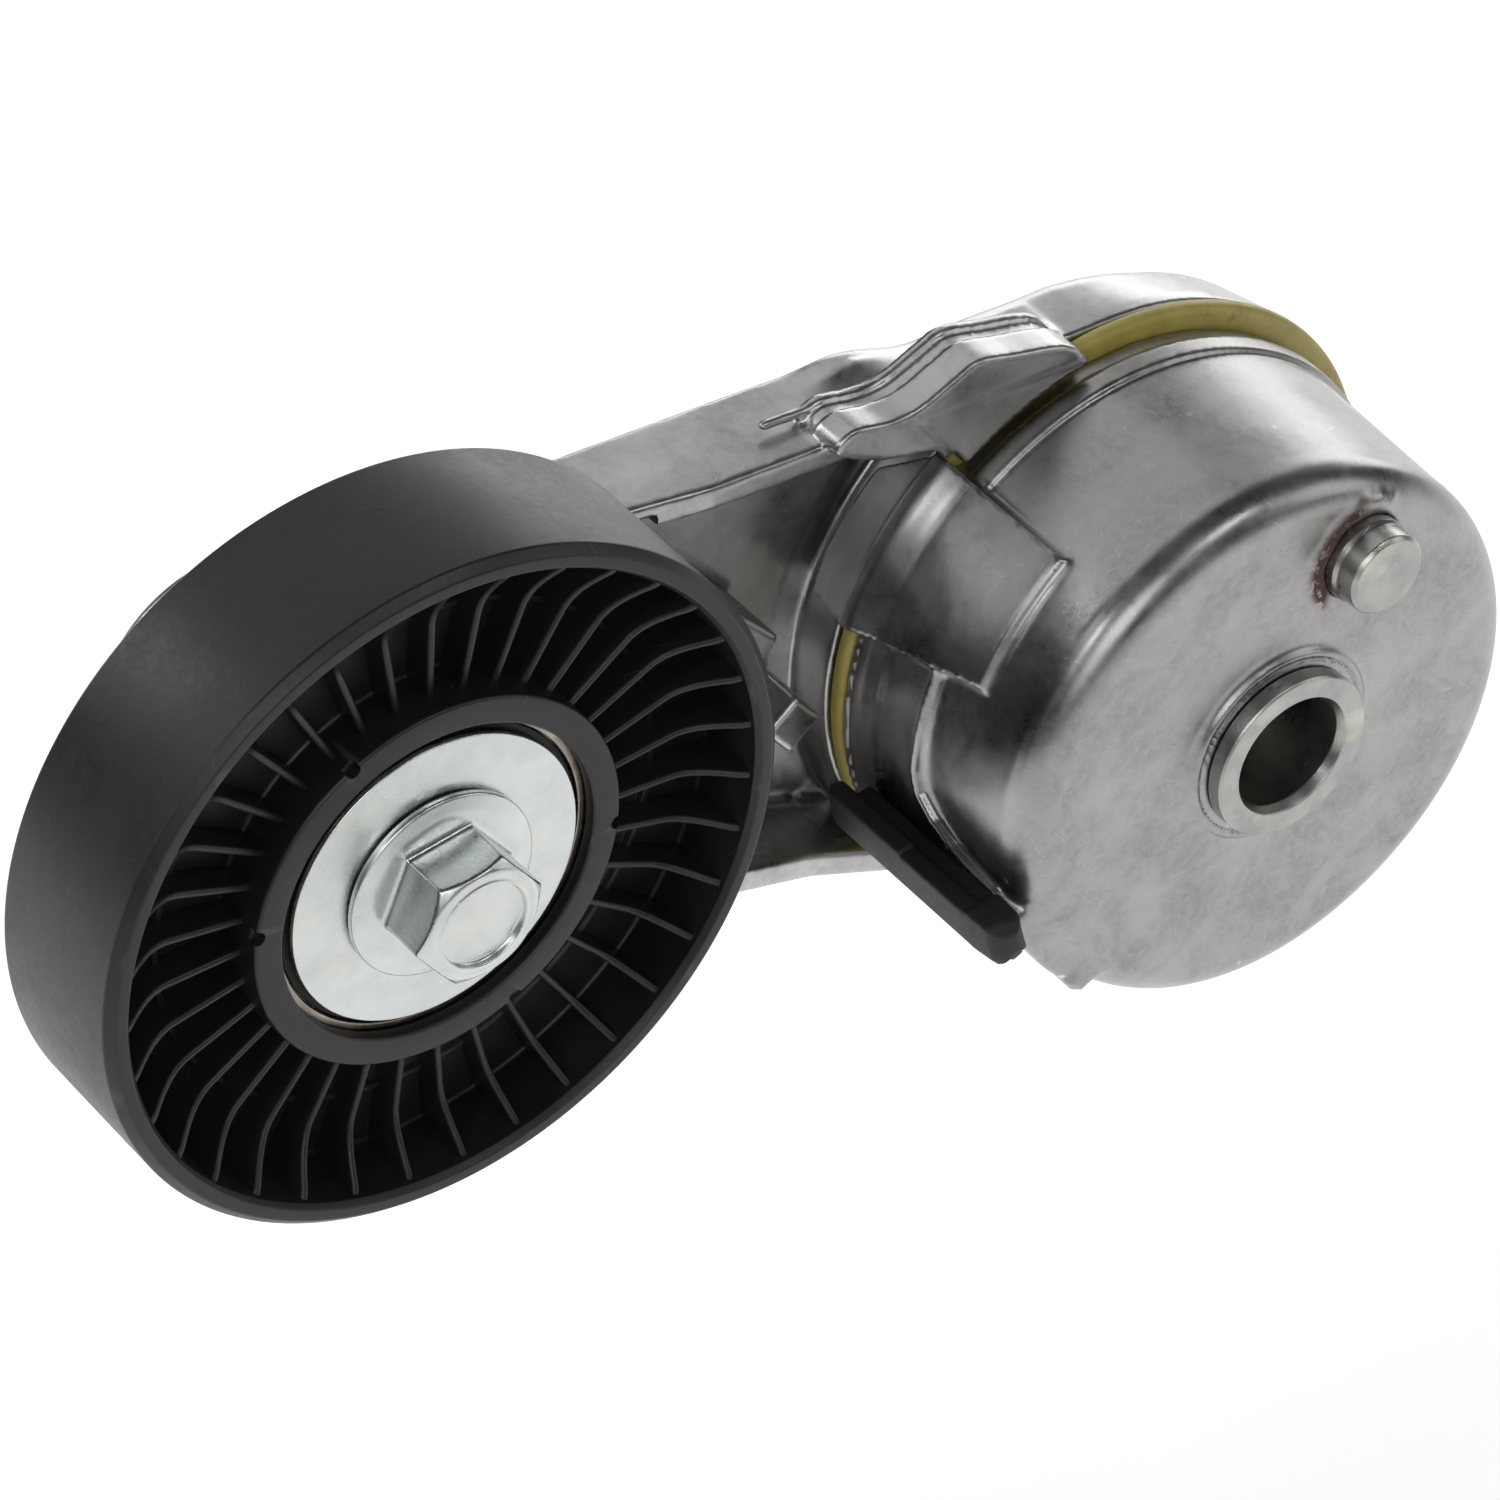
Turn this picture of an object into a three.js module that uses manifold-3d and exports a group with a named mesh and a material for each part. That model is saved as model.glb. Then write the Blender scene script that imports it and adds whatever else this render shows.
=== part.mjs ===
// Belt tensioner idler: a spring-loaded arm that carries a ball-bearing pulley on a cast spring case.
// Millimetres. The pivot axis is the Y axis, the case's mounting face is the plane y = 0 and faces -Y,
// +X is to the right, +Z is up, and the pulley is up on the left.
import * as THREE from "three";
import { mergeVertices } from "three/addons/utils/BufferGeometryUtils.js";
import Module from "manifold-3d";

const wasm = await Module();
wasm.setup();

// ---- Driving dimensions ----
const GAP = 0.3; // clearance left between neighbouring pieces
const ROUND = 56; // facets on a large turned piece
const MEDIUM = 40; // facets on the bearing and the pivot
const FINE = 28; // facets on a small turned piece

const PULLEY = { x: -107.4, z: 33.6, radius: 40.4, front: 0.5, width: 20.3, bevel: 1.1 };
const RIM = { inner: 37.6, hubOuter: 22.2, webFront: 9.2, webBack: 12 };
const RIB = { count: 35, first: 4, thick: 1, hubDepth: 4.9, rimDepth: 1, flatTo: 30.5, webHide: 0.4 };
const BEARING = { outer: 20, bore: 8.5, width: 12, front: 4.6, pitch: 14.25, ball: 3.37, balls: 8 };
const RACE = { clear: 0.16, outerShoulder: 16.4, innerShoulder: 12.1, sealLand: 17.2, sealWidth: 1.3 };
const SHIELD = { radius: 17.1, thick: 0.8 };
const BOLT = { shank: 4.8, flange: 10.9, flangeBack: 3.3, hexBase: 1.8, top: -4.9, flats: 13.2, turn: 6.3, end: 42 };

const CASE = { face: 31, edge: 4.2, wallFront: 35.2, wallBack: 35.7, ridge: 26.8, rim: 36.4, depth: 30.6 };
const CASE_IN = { wall: 32.2, floor: 4.6, corner: 2.6, bossRadius: 14, bossTop: 6.8 };
const TUBE = { radius: 9, bore: 6.6, chamfer: 1, spigot: 10.3, nose: -3.1, flare: 12.4, back: 47.6 };
const COLLAR = { radius: 11.9, height: 0.8 };
const PIN = { x: 10.8, z: 21.2, radius: 5, nose: -4.5, seat: 4.2, chamfer: 0.5, sink: 1 };

const RING = { inner: 32.8, outer: 36.9, round: 0.5 };
const ARM = { hub: 36.8, boss: 15, front: 30.5, webFront: 39.6, back: 44, wall: 3, barrel: 15, barrelFront: 9 };
const TAB = { inner: 37.3, front: 37.3, outer: 39.3, crease: 31.5, mid: 142.6 }; // mid is in degrees
const LUG = { from: 97, to: 125.4, front: 28.5, padBack: 36.4 }; // from and to are in degrees from +X to +Z
const TRAVEL = 45; // degrees the arm can turn from its free-arm stop

const SPRING = { radius: 24.5, wire: 2.3, turns: 3.5, sides: 8, stepsPerTurn: 18 };
const SHOE = { inner: 28.3, outer: 31.8, front: 14, back: 30, half: 55 };
const BUMPER = { inner: 36.1, step: 38.6, outer: 41, front: -1.2, noseBack: 2.4, baseBack: 26.4, back: 27.8 };
const BUMPER_ANGLE = { top: 184.5, low: 193, base: 190.5, end: 204.5 }; // degrees

// ---- Places worked out from the driving dimensions ----
const ringFront = CASE.depth + GAP;
const ringBack = ringFront + 2.2;
const hubFront = ringBack + GAP;
const pulleyBack = PULLEY.front + PULLEY.width;
const bearingBack = BEARING.front + BEARING.width;
const bearingMid = BEARING.front + BEARING.width / 2;
const rearShieldBack = bearingBack + GAP + SHIELD.thick;
const bossFront = rearShieldBack + GAP;
const armLength = Math.hypot(PULLEY.x, PULLEY.z);
const armAngle = Math.atan2(PULLEY.z, PULLEY.x);

const radians = (degrees) => (degrees * Math.PI) / 180;
const along = (radius, angle) => [radius * Math.cos(angle), radius * Math.sin(angle)];

// ---- Solid helpers ----

// A closed three.js geometry as a solid, turned right side out.
function solidOf(geometry) {
  const bare = geometry.clone();
  bare.deleteAttribute("normal");
  bare.deleteAttribute("uv");
  const merged = mergeVertices(bare, 1e-4);
  const index = merged.index.array;
  const faces = [];
  for (let i = 0; i < index.length; i += 3) {
    const [a, b, c] = [index[i], index[i + 1], index[i + 2]];
    if (a !== b && b !== c && c !== a) faces.push(a, b, c);
  }
  const build = (triVerts) =>
    new wasm.Manifold(
      new wasm.Mesh({ numProp: 3, vertProperties: merged.attributes.position.array, triVerts }),
    );
  const solid = build(new Uint32Array(faces));
  return solid.volume() > 0 ? solid : build(new Uint32Array(faces.reverse()));
}

function geometryOf(solid) {
  const mesh = solid.getMesh();
  const geometry = new THREE.BufferGeometry();
  geometry.setAttribute("position", new THREE.BufferAttribute(mesh.vertProperties, 3));
  geometry.setIndex(new THREE.BufferAttribute(mesh.triVerts, 1));
  geometry.computeVertexNormals();
  return geometry;
}

const join = (...solids) => solids.reduce((a, b) => a.add(b));
const cut = (solid, ...tools) => tools.reduce((a, b) => a.subtract(b), solid);

// A profile of [radius, y] points, closed on itself, turned round the Y axis.
function turned(profile, facets = ROUND) {
  const points = [...profile, profile[0]].map(([r, y]) => new THREE.Vector2(r, y));
  return solidOf(new THREE.LatheGeometry(points, facets));
}

const tube = (inner, outer, front, back, facets = ROUND) =>
  turned([[inner, front], [outer, front], [outer, back], [inner, back]], facets);

const rod = (radius, front, back, facets = FINE) =>
  turned([[0, front], [radius, front], [radius, back], [0, back]], facets);

// A flat outline in X and Z, extruded along Y.
function prism(shape, front, back, curveSegments = 12) {
  const geometry = new THREE.ExtrudeGeometry(shape, {
    depth: back - front,
    bevelEnabled: false,
    curveSegments,
  });
  geometry.rotateX(Math.PI / 2);
  geometry.translate(0, back, 0);
  return solidOf(geometry);
}

const polygon = (points) => new THREE.Shape(points.map(([x, z]) => new THREE.Vector2(x, z)));

// A sector of a ring between two angles in degrees, as an outline in X and Z.
function sector(inner, outer, from, to) {
  const shape = new THREE.Shape();
  shape.absarc(0, 0, outer, radians(from), radians(to), false);
  shape.absarc(0, 0, inner, radians(to), radians(from), true);
  return shape;
}

const arcPoints = (count, at) => Array.from({ length: count + 1 }, (_, i) => at(i / count));

// ---- Materials ----
const finish = (color, roughness, metalness) =>
  new THREE.MeshStandardMaterial({ color, roughness, metalness });
const castAluminium = () => finish(0xa9abab, 0.42, 0.9);
const zincSteel = () => finish(0xc9d0d2, 0.28, 0.95);
const bearingSteel = () => finish(0x9c9a94, 0.25, 0.95);
const blackNylon = () => finish(0x1d1b1d, 0.5, 0);
const yellowNylon = () => finish(0x9a8a4a, 0.45, 0);
const blackRubber = () => finish(0x1e1a18, 0.6, 0);
const springSteel = () => finish(0x55565a, 0.4, 0.85);

function part(name, solid, material) {
  const mesh = new THREE.Mesh(geometryOf(solid), material);
  mesh.name = name;
  return mesh;
}

// ---- Base: the spring case and what is fixed to it ----

function caseBody() {
  const edge = arcPoints(5, (t) => {
    const angle = radians(-90 + 90 * t);
    return [CASE.face + CASE.edge * Math.cos(angle), CASE.edge * (1 + Math.sin(angle))];
  });
  const shell = turned([
    [TUBE.radius + GAP, -COLLAR.height],
    [COLLAR.radius, -COLLAR.height],
    [COLLAR.radius + 0.6, 0],
    ...edge,
    [CASE.wallBack, CASE.ridge - 0.4],
    [CASE.wallBack - 0.4, CASE.ridge],
    [CASE.rim, CASE.ridge + 0.7],
    [CASE.rim, CASE.depth],
    [CASE_IN.wall, CASE.depth],
    [CASE_IN.wall, CASE_IN.floor + CASE_IN.corner],
    [CASE_IN.wall - CASE_IN.corner, CASE_IN.floor],
    [CASE_IN.bossRadius, CASE_IN.floor],
    [CASE_IN.bossRadius, CASE_IN.bossTop],
    [TUBE.radius + GAP, CASE_IN.bossTop],
  ]);
  const hole = turned([
    [0, -1],
    [PIN.radius + GAP + PIN.sink, -1],
    [PIN.radius + GAP + PIN.sink, 0],
    [PIN.radius + GAP, PIN.sink],
    [PIN.radius + GAP, CASE_IN.floor + 1],
    [0, CASE_IN.floor + 1],
  ], FINE).translate([PIN.x, 0, PIN.z]);
  return cut(join(shell, stopTab(), castNub()), hole);
}

// The free-arm stop: a curved tongue that rises from the wall and reaches back over the ring.
function stopTab() {
  const band = turned([
    [CASE.wallFront - 1, 7],
    [TAB.front - 0.6, 7],
    [TAB.front, 9],
    [TAB.outer, TAB.crease - 3],
    [TAB.outer - 0.4, TAB.crease],
    [TAB.outer - 1.6, 39],
    [TAB.inner, 39],
    [TAB.inner, CASE.depth],
    [CASE.wallFront - 1, CASE.depth],
  ]);
  const edge = [
    [127.4, 11],
    [126.9, 30.3],
    [134.9, 36.8],
    [151.8, 37.2],
    [158.2, 34.6],
    [158.3, 26],
    [155.6, 17.5],
    [153.3, 10.9],
  ];
  const shape = polygon(edge.map(([angle, y]) => [TAB.outer * Math.sin(radians(TAB.mid - angle)), y]));
  const geometry = new THREE.ExtrudeGeometry(shape, { depth: 20, bevelEnabled: false });
  geometry.translate(0, 0, 28);
  geometry.rotateY(Math.PI / 2 - radians(TAB.mid));
  return band.intersect(solidOf(geometry));
}

function castNub() {
  const width = 2.3;
  const shape = polygon([[33, -width], [37, -width * 0.6], [37, width * 0.6], [33, width]]);
  return prism(shape, 1.6, 6).rotate([0, 131, 0]);
}

function pivotTube() {
  return turned([
    [TUBE.bore, TUBE.nose + TUBE.chamfer],
    [TUBE.bore + TUBE.chamfer, TUBE.nose],
    [TUBE.spigot - 0.6, TUBE.nose],
    [TUBE.spigot, TUBE.nose + 0.6],
    [TUBE.spigot, -COLLAR.height - GAP],
    [TUBE.radius, -COLLAR.height - GAP],
    [TUBE.radius, TUBE.back - 1.6],
    [TUBE.flare, TUBE.back - 1.6],
    [TUBE.flare, TUBE.back],
    [TUBE.bore + TUBE.chamfer, TUBE.back],
    [TUBE.bore, TUBE.back - TUBE.chamfer],
  ], MEDIUM);
}

const locatingPin = () =>
  turned([
    [0, PIN.nose],
    [PIN.radius - PIN.chamfer, PIN.nose],
    [PIN.radius, PIN.nose + PIN.chamfer],
    [PIN.radius, PIN.seat],
    [0, PIN.seat],
  ], FINE).translate([PIN.x, 0, PIN.z]);

// The plastic strip that stands off the case wall, on a foot and a front block, with one lowered stretch.
function stopBumper() {
  const { inner, step, outer, front, noseBack, baseBack, back } = BUMPER;
  const { top, low, base, end } = BUMPER_ANGLE;
  const strip = prism(sector(step, outer, top, low), front, back);
  const foot = prism(sector(inner, step + 0.4, base, end), 0.6, baseBack);
  const nose = prism(sector(inner, step + 0.4, top + 1.5, low), front, noseBack);
  const notch = prism(sector(step - 1, outer + 1, top - 3, top + 0.7), 3, 14.5);
  return cut(join(strip, foot, nose), notch);
}

const springSeat = () => tube(20, 29, CASE_IN.floor + GAP, CASE_IN.floor + GAP + 2);
const thrustWasher = () =>
  tube(TUBE.radius + GAP, CASE_IN.bossRadius + 0.5, CASE_IN.bossTop + GAP, ARM.barrelFront - GAP, MEDIUM);
const retainingWasher = () =>
  tube(TUBE.radius + GAP, 20, ARM.back + GAP, TUBE.back - 1.6 - GAP, MEDIUM);

class Coil extends THREE.Curve {
  constructor(front, back) {
    super();
    this.front = front;
    this.back = back;
  }
  getPoint(t) {
    const angle = 2 * Math.PI * SPRING.turns * t;
    const y = THREE.MathUtils.lerp(this.front, this.back, t);
    return new THREE.Vector3(SPRING.radius * Math.cos(angle), y, SPRING.radius * Math.sin(angle));
  }
}

function torsionSpring() {
  const wire = new THREE.Shape();
  wire.absarc(0, 0, SPRING.wire, 0, 2 * Math.PI);
  const front = CASE_IN.floor + 2 + 2 * GAP + SPRING.wire;
  const geometry = new THREE.ExtrudeGeometry(wire, {
    extrudePath: new Coil(front, hubFront - GAP - SPRING.wire),
    steps: Math.round(SPRING.turns * SPRING.stepsPerTurn),
    curveSegments: SPRING.sides / 2,
  });
  return solidOf(geometry);
}

// ---- Arm: the casting and what turns with it about the pivot ----

// The outline that wraps the hub and the pulley boss, grown or shrunk by an offset.
function armOutline(offset) {
  const lean = Math.PI / 2 - Math.asin((ARM.hub - ARM.boss) / armLength);
  const shape = new THREE.Shape();
  shape.absarc(PULLEY.x, PULLEY.z, ARM.boss + offset, armAngle - lean, armAngle + lean, false);
  shape.absarc(0, 0, ARM.hub + offset, armAngle + lean, armAngle - lean + 2 * Math.PI, false);
  return shape;
}

function armCasting() {
  const outline = (front, back, offset = 0) => prism(armOutline(offset), front, back, 24);
  const hub = turned([
    [TUBE.radius + 2.1, ARM.barrelFront],
    [ARM.barrel, ARM.barrelFront],
    [ARM.barrel, hubFront],
    [ARM.hub, hubFront],
    [ARM.hub, ARM.back - 4.6],
    [ARM.hub - 4.4, ARM.back],
    [TUBE.radius + 2.1, ARM.back],
  ]);
  const channel = cut(outline(ARM.front, ARM.back), outline(0, ARM.webFront, -ARM.wall));
  const lug = outline(LUG.front, ARM.back).intersect(
    prism(sector(30, 60, LUG.from, LUG.to), LUG.front, ARM.back),
  );
  const body = cut(
    join(channel, lug, stopPad(), webRib(), castBlock()),
    rod(TAB.inner + 0.3, 0, hubFront, ROUND),
    rod(ARM.hub - 2, 0, ARM.back + 1, ROUND),
    tabSweep(),
  );
  const boss = join(
    rod(ARM.boss - 1, pulleyBack + 2.2, ARM.back),
    rod(11.5, bossFront, pulleyBack + 3),
  ).translate([PULLEY.x, 0, PULLEY.z]);
  const thread = rod(BOLT.shank + GAP, 0, ARM.back + 1).translate([PULLEY.x, 0, PULLEY.z]);
  return cut(join(body, hub, boss), thread);
}

// The raised pad that meets the stop tab, with a hollow sweep down to the channel's wall.
function stopPad() {
  const shape = polygon([
    [-39, 39.8],
    [-37, 42],
    [-32, 41],
    [-28, 41.1],
    [-23.3, 42.9],
    [-20.2, 43.9],
    [-15.5, 42.7],
    [-7, 39.8],
    [-6.6, 34],
    [-22, 31],
    [-26, 34.4],
    [-32.8, 36.2],
  ]);
  return prism(shape, LUG.front, LUG.padBack);
}

// The space the stop tab passes through while the arm turns over its whole travel.
function tabSweep() {
  const shape = sector(ARM.hub + 0.1, TAB.outer + 0.6, LUG.to, 158.3 + TRAVEL + 2);
  return prism(shape, CASE.ridge, ARM.webFront, 40);
}

// The pointed rib that stands on the web between the pulley boss and the hub.
function webRib() {
  const shape = polygon([[-46.3, 18], [-48.6, 14.6], [-92, 26], [-92, 42], [-60, 33]]);
  return prism(shape, LUG.front + 0.4, ARM.webFront + 1);
}

function castBlock() {
  const half = 2.7;
  const shape = polygon([[-half, -half], [half, -half], [half, half], [-half, half]]);
  return prism(shape, LUG.front + 0.3, ARM.webFront + 1).rotate([0, 38, 0]).translate([-44.4, 0, 4.6]);
}

const pivotBushing = () =>
  tube(TUBE.radius + GAP, TUBE.radius + 1.8, ARM.barrelFront, ARM.back, MEDIUM);

const wearRing = () =>
  turned([
    [RING.inner, ringFront],
    [RING.outer - RING.round, ringFront],
    [RING.outer, ringFront + RING.round],
    [RING.outer, ringBack - RING.round],
    [RING.outer - RING.round, ringBack],
    [RING.inner, ringBack],
  ]);

const dampingShoe = () =>
  prism(sector(SHOE.inner, SHOE.outer, 90 - SHOE.half, 90 + SHOE.half), SHOE.front, SHOE.back, 16);

// ---- Bearing and pulley, built round their own axis ----

const groove = (side, clear) =>
  arcPoints(6, (t) => {
    const angle = radians(180 * t - 90);
    const reach = BEARING.ball + clear;
    return [BEARING.pitch + side * reach * Math.cos(angle), bearingMid + reach * Math.sin(angle)];
  });

function innerRing() {
  const race = groove(-1, RACE.clear).filter(([r]) => r < RACE.innerShoulder);
  return turned([
    [BEARING.bore, bearingBack],
    [BEARING.bore, BEARING.front],
    [RACE.innerShoulder, BEARING.front],
    ...race.sort((a, b) => a[1] - b[1]),
    [RACE.innerShoulder, bearingBack],
  ], MEDIUM);
}

function outerRing() {
  const race = groove(1, RACE.clear).filter(([r]) => r > RACE.outerShoulder);
  return turned([
    [BEARING.outer, BEARING.front],
    [BEARING.outer, bearingBack],
    [RACE.sealLand, bearingBack],
    [RACE.sealLand, bearingBack - RACE.sealWidth],
    [RACE.outerShoulder, bearingBack - RACE.sealWidth],
    ...race.sort((a, b) => b[1] - a[1]),
    [RACE.outerShoulder, BEARING.front + RACE.sealWidth],
    [RACE.sealLand, BEARING.front + RACE.sealWidth],
    [RACE.sealLand, BEARING.front],
  ], MEDIUM);
}

const seal = (front) =>
  tube(RACE.innerShoulder + GAP, RACE.sealLand - GAP, front, front + RACE.sealWidth - 2 * GAP, MEDIUM);

const ballPlace = (index) => along(BEARING.pitch, (2 * Math.PI * index) / BEARING.balls);

function bearingBall(index) {
  const [x, z] = ballPlace(index);
  return solidOf(new THREE.IcosahedronGeometry(BEARING.ball, 1)).translate([x, bearingMid, z]);
}

function ballCage() {
  const pocket = rod(BEARING.ball + GAP, 12, 17, 12).rotate([90, 0, 0]);
  const pockets = Array.from({ length: BEARING.balls }, (_, i) =>
    pocket.rotate([0, (360 * i) / BEARING.balls, 0]).translate([0, bearingMid, 0]),
  );
  return cut(tube(13.2, 15.3, bearingMid - 4.5, bearingMid + 4.5, MEDIUM), ...pockets);
}

const bearingSpacer = () => tube(BOLT.shank + GAP, BEARING.bore - GAP, BEARING.front, bearingBack, FINE);
const frontShield = () =>
  tube(BOLT.shank + GAP, SHIELD.radius, BEARING.front - GAP - SHIELD.thick + 0.1, BEARING.front - GAP);
const rearShield = () =>
  tube(BOLT.shank + GAP, SHIELD.radius - 1, bearingBack + GAP, rearShieldBack);

function pulleyBolt() {
  const corner = BOLT.flats / 2 / Math.cos(Math.PI / 6);
  const hex = polygon(Array.from({ length: 6 }, (_, i) => along(corner, radians(60 * i + BOLT.turn))));
  const chamfer = turned([
    [0, BOLT.top],
    [corner - 1.2, BOLT.top],
    [corner + 0.2, BOLT.top + 1.1],
    [corner + 0.2, BOLT.hexBase + 1],
    [0, BOLT.hexBase + 1],
  ], FINE);
  const head = prism(hex, BOLT.top, BOLT.hexBase + 0.5).intersect(chamfer);
  const flange = turned([
    [0, BOLT.hexBase],
    [corner, BOLT.hexBase],
    [BOLT.flange, BOLT.flangeBack - 0.9],
    [BOLT.flange, BOLT.flangeBack - 0.1],
    [0, BOLT.flangeBack - 0.1],
  ], MEDIUM);
  const dish = rod(5.1, BOLT.top - 1, BOLT.top + 0.6);
  return cut(join(head, flange, rod(BOLT.shank, 2, BOLT.end)), dish);
}

// The rim, hub and middle web in one turned section, with the radial ribs that tie them together.
function pulleyWheel() {
  const bore = BEARING.outer + GAP;
  const hubFrontY = PULLEY.front + 2.3;
  const hubBackY = pulleyBack - 2.3;
  const lip = 19.6;
  const section = turned([
    [bore, BEARING.front - GAP],
    [lip, BEARING.front - GAP],
    [lip, hubFrontY],
    [21.5, hubFrontY],
    [RIM.hubOuter, hubFrontY + 1],
    [RIM.hubOuter, RIM.webFront],
    [RIM.inner, RIM.webFront],
    [RIM.inner, PULLEY.front + 0.5],
    [RIM.inner + 0.4, PULLEY.front],
    [PULLEY.radius - PULLEY.bevel, PULLEY.front],
    [PULLEY.radius, PULLEY.front + PULLEY.bevel],
    [PULLEY.radius, pulleyBack - PULLEY.bevel],
    [PULLEY.radius - PULLEY.bevel, pulleyBack],
    [RIM.inner, pulleyBack],
    [RIM.inner, RIM.webBack],
    [RIM.hubOuter, RIM.webBack],
    [RIM.hubOuter, hubBackY],
    [lip, hubBackY],
    [lip, bearingBack + GAP],
    [bore, bearingBack + GAP],
  ], 64);
  const ribs = Array.from({ length: RIB.count }, (_, i) =>
    wheelRib().rotate([0, -RIB.first - (360 * i) / RIB.count, 0]),
  );
  return join(section, ...ribs);
}

// One rib: its free edge lies low beside the hub and sweeps up to the rim.
function wheelRib() {
  const sweep = RIM.inner - RIB.flatTo;
  const rise = RIB.hubDepth - RIB.rimDepth;
  const edge = arcPoints(3, (t) => [RIB.flatTo + sweep * t, rise * t * t * (1.6 - 0.6 * t)]);
  const front = edge.map(([r, up]) => [r, PULLEY.front + RIB.hubDepth - up]);
  const back = edge.map(([r, up]) => [r, pulleyBack - RIB.hubDepth + up]).reverse();
  const reach = RIB.webHide;
  const shape = polygon([
    [RIM.hubOuter - reach, PULLEY.front + RIB.hubDepth],
    ...front,
    [RIM.inner + reach, PULLEY.front + RIB.rimDepth],
    [RIM.inner + reach, pulleyBack - RIB.rimDepth],
    ...back,
    [RIM.hubOuter - reach, pulleyBack - RIB.hubDepth],
  ]);
  const geometry = new THREE.ExtrudeGeometry(shape, { depth: RIB.thick, bevelEnabled: false });
  geometry.translate(0, 0, -RIB.thick / 2);
  return solidOf(geometry);
}

// ---- Scene graph ----

const base = new THREE.Group();
base.name = "base";
base.add(
  part("spring_case", caseBody(), castAluminium()),
  part("pivot_tube", pivotTube(), zincSteel()),
  part("locating_pin", locatingPin(), zincSteel()),
  part("stop_bumper", stopBumper(), blackRubber()),
  part("spring_seat", springSeat(), blackNylon()),
  part("thrust_washer", thrustWasher(), yellowNylon()),
  part("retaining_washer", retainingWasher(), zincSteel()),
  part("torsion_spring", torsionSpring(), springSteel()),
);

const pulleyAxis = new THREE.Group();
pulleyAxis.name = "pulley_axis";
pulleyAxis.position.set(PULLEY.x, 0, PULLEY.z);
pulleyAxis.add(
  part("pulley_wheel", pulleyWheel(), blackNylon()),
  part("bearing_outer_ring", outerRing(), bearingSteel()),
  part("bearing_inner_ring", innerRing(), bearingSteel()),
  part("front_seal", seal(BEARING.front + GAP), blackRubber()),
  part("rear_seal", seal(bearingBack - RACE.sealWidth + GAP), blackRubber()),
  part("ball_cage", ballCage(), yellowNylon()),
  part("bearing_spacer", bearingSpacer(), zincSteel()),
  part("front_dust_shield", frontShield(), zincSteel()),
  part("rear_dust_shield", rearShield(), zincSteel()),
  part("pulley_bolt", pulleyBolt(), zincSteel()),
);
for (let i = 0; i < BEARING.balls; i++) {
  pulleyAxis.add(part(`bearing_ball_${i + 1}`, bearingBall(i), bearingSteel()));
}

const arm = new THREE.Group();
arm.name = "arm";
arm.add(
  part("tensioner_arm", armCasting(), castAluminium()),
  part("pivot_bushing", pivotBushing(), yellowNylon()),
  part("wear_ring", wearRing(), yellowNylon()),
  part("damping_shoe", dampingShoe(), blackNylon()),
  pulleyAxis,
);

const group = new THREE.Group();
group.name = "belt_tensioner_idler";
group.add(base, arm);

export default group;
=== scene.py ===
"""Belt tensioner idler: smooth pieces, materials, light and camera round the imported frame."""
import math
from types import SimpleNamespace as Sizes

import bpy
import numpy as np
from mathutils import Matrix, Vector


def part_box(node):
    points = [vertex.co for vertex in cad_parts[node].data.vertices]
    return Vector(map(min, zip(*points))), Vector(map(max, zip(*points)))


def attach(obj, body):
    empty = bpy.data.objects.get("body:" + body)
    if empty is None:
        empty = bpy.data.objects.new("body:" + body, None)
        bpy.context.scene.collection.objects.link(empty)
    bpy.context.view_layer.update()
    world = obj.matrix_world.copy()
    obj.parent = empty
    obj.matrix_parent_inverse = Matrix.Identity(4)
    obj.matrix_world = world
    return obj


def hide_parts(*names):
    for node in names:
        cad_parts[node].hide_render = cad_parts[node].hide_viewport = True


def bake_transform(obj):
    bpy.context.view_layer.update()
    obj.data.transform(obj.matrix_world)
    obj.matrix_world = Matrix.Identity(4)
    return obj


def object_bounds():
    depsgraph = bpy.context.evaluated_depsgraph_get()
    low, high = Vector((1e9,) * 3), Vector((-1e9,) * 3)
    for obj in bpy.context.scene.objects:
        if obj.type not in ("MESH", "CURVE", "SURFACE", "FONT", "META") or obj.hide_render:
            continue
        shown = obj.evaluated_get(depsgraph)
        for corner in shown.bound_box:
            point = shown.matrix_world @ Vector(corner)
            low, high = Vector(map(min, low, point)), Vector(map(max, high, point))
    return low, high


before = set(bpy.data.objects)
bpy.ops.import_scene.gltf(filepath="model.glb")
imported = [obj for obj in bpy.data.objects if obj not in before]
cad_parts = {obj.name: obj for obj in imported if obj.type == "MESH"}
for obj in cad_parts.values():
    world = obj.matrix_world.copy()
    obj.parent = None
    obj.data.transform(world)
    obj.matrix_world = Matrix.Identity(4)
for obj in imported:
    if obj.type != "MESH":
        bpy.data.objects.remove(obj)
CAD_LOW, CAD_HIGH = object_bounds()

MM = 0.001  # shapes are written in millimetres, and meshes are made in metres
GAP = 0.3  # clearance between neighbouring pieces
STEPS = 192  # facets round a large turned piece
SMALL_STEPS = 128  # facets round a small one
SHARP_ANGLE = math.radians(38)


class Extent:
    """A CAD node's box at rest, in millimetres."""

    def __init__(self, node):
        low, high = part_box(node)
        self.left, self.front, self.bottom = (value / MM for value in low)
        self.right, self.back, self.top = (value / MM for value in high)
        self.x = (self.left + self.right) / 2
        self.z = (self.bottom + self.top) / 2
        self.radius = (self.right - self.left) / 2


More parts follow.
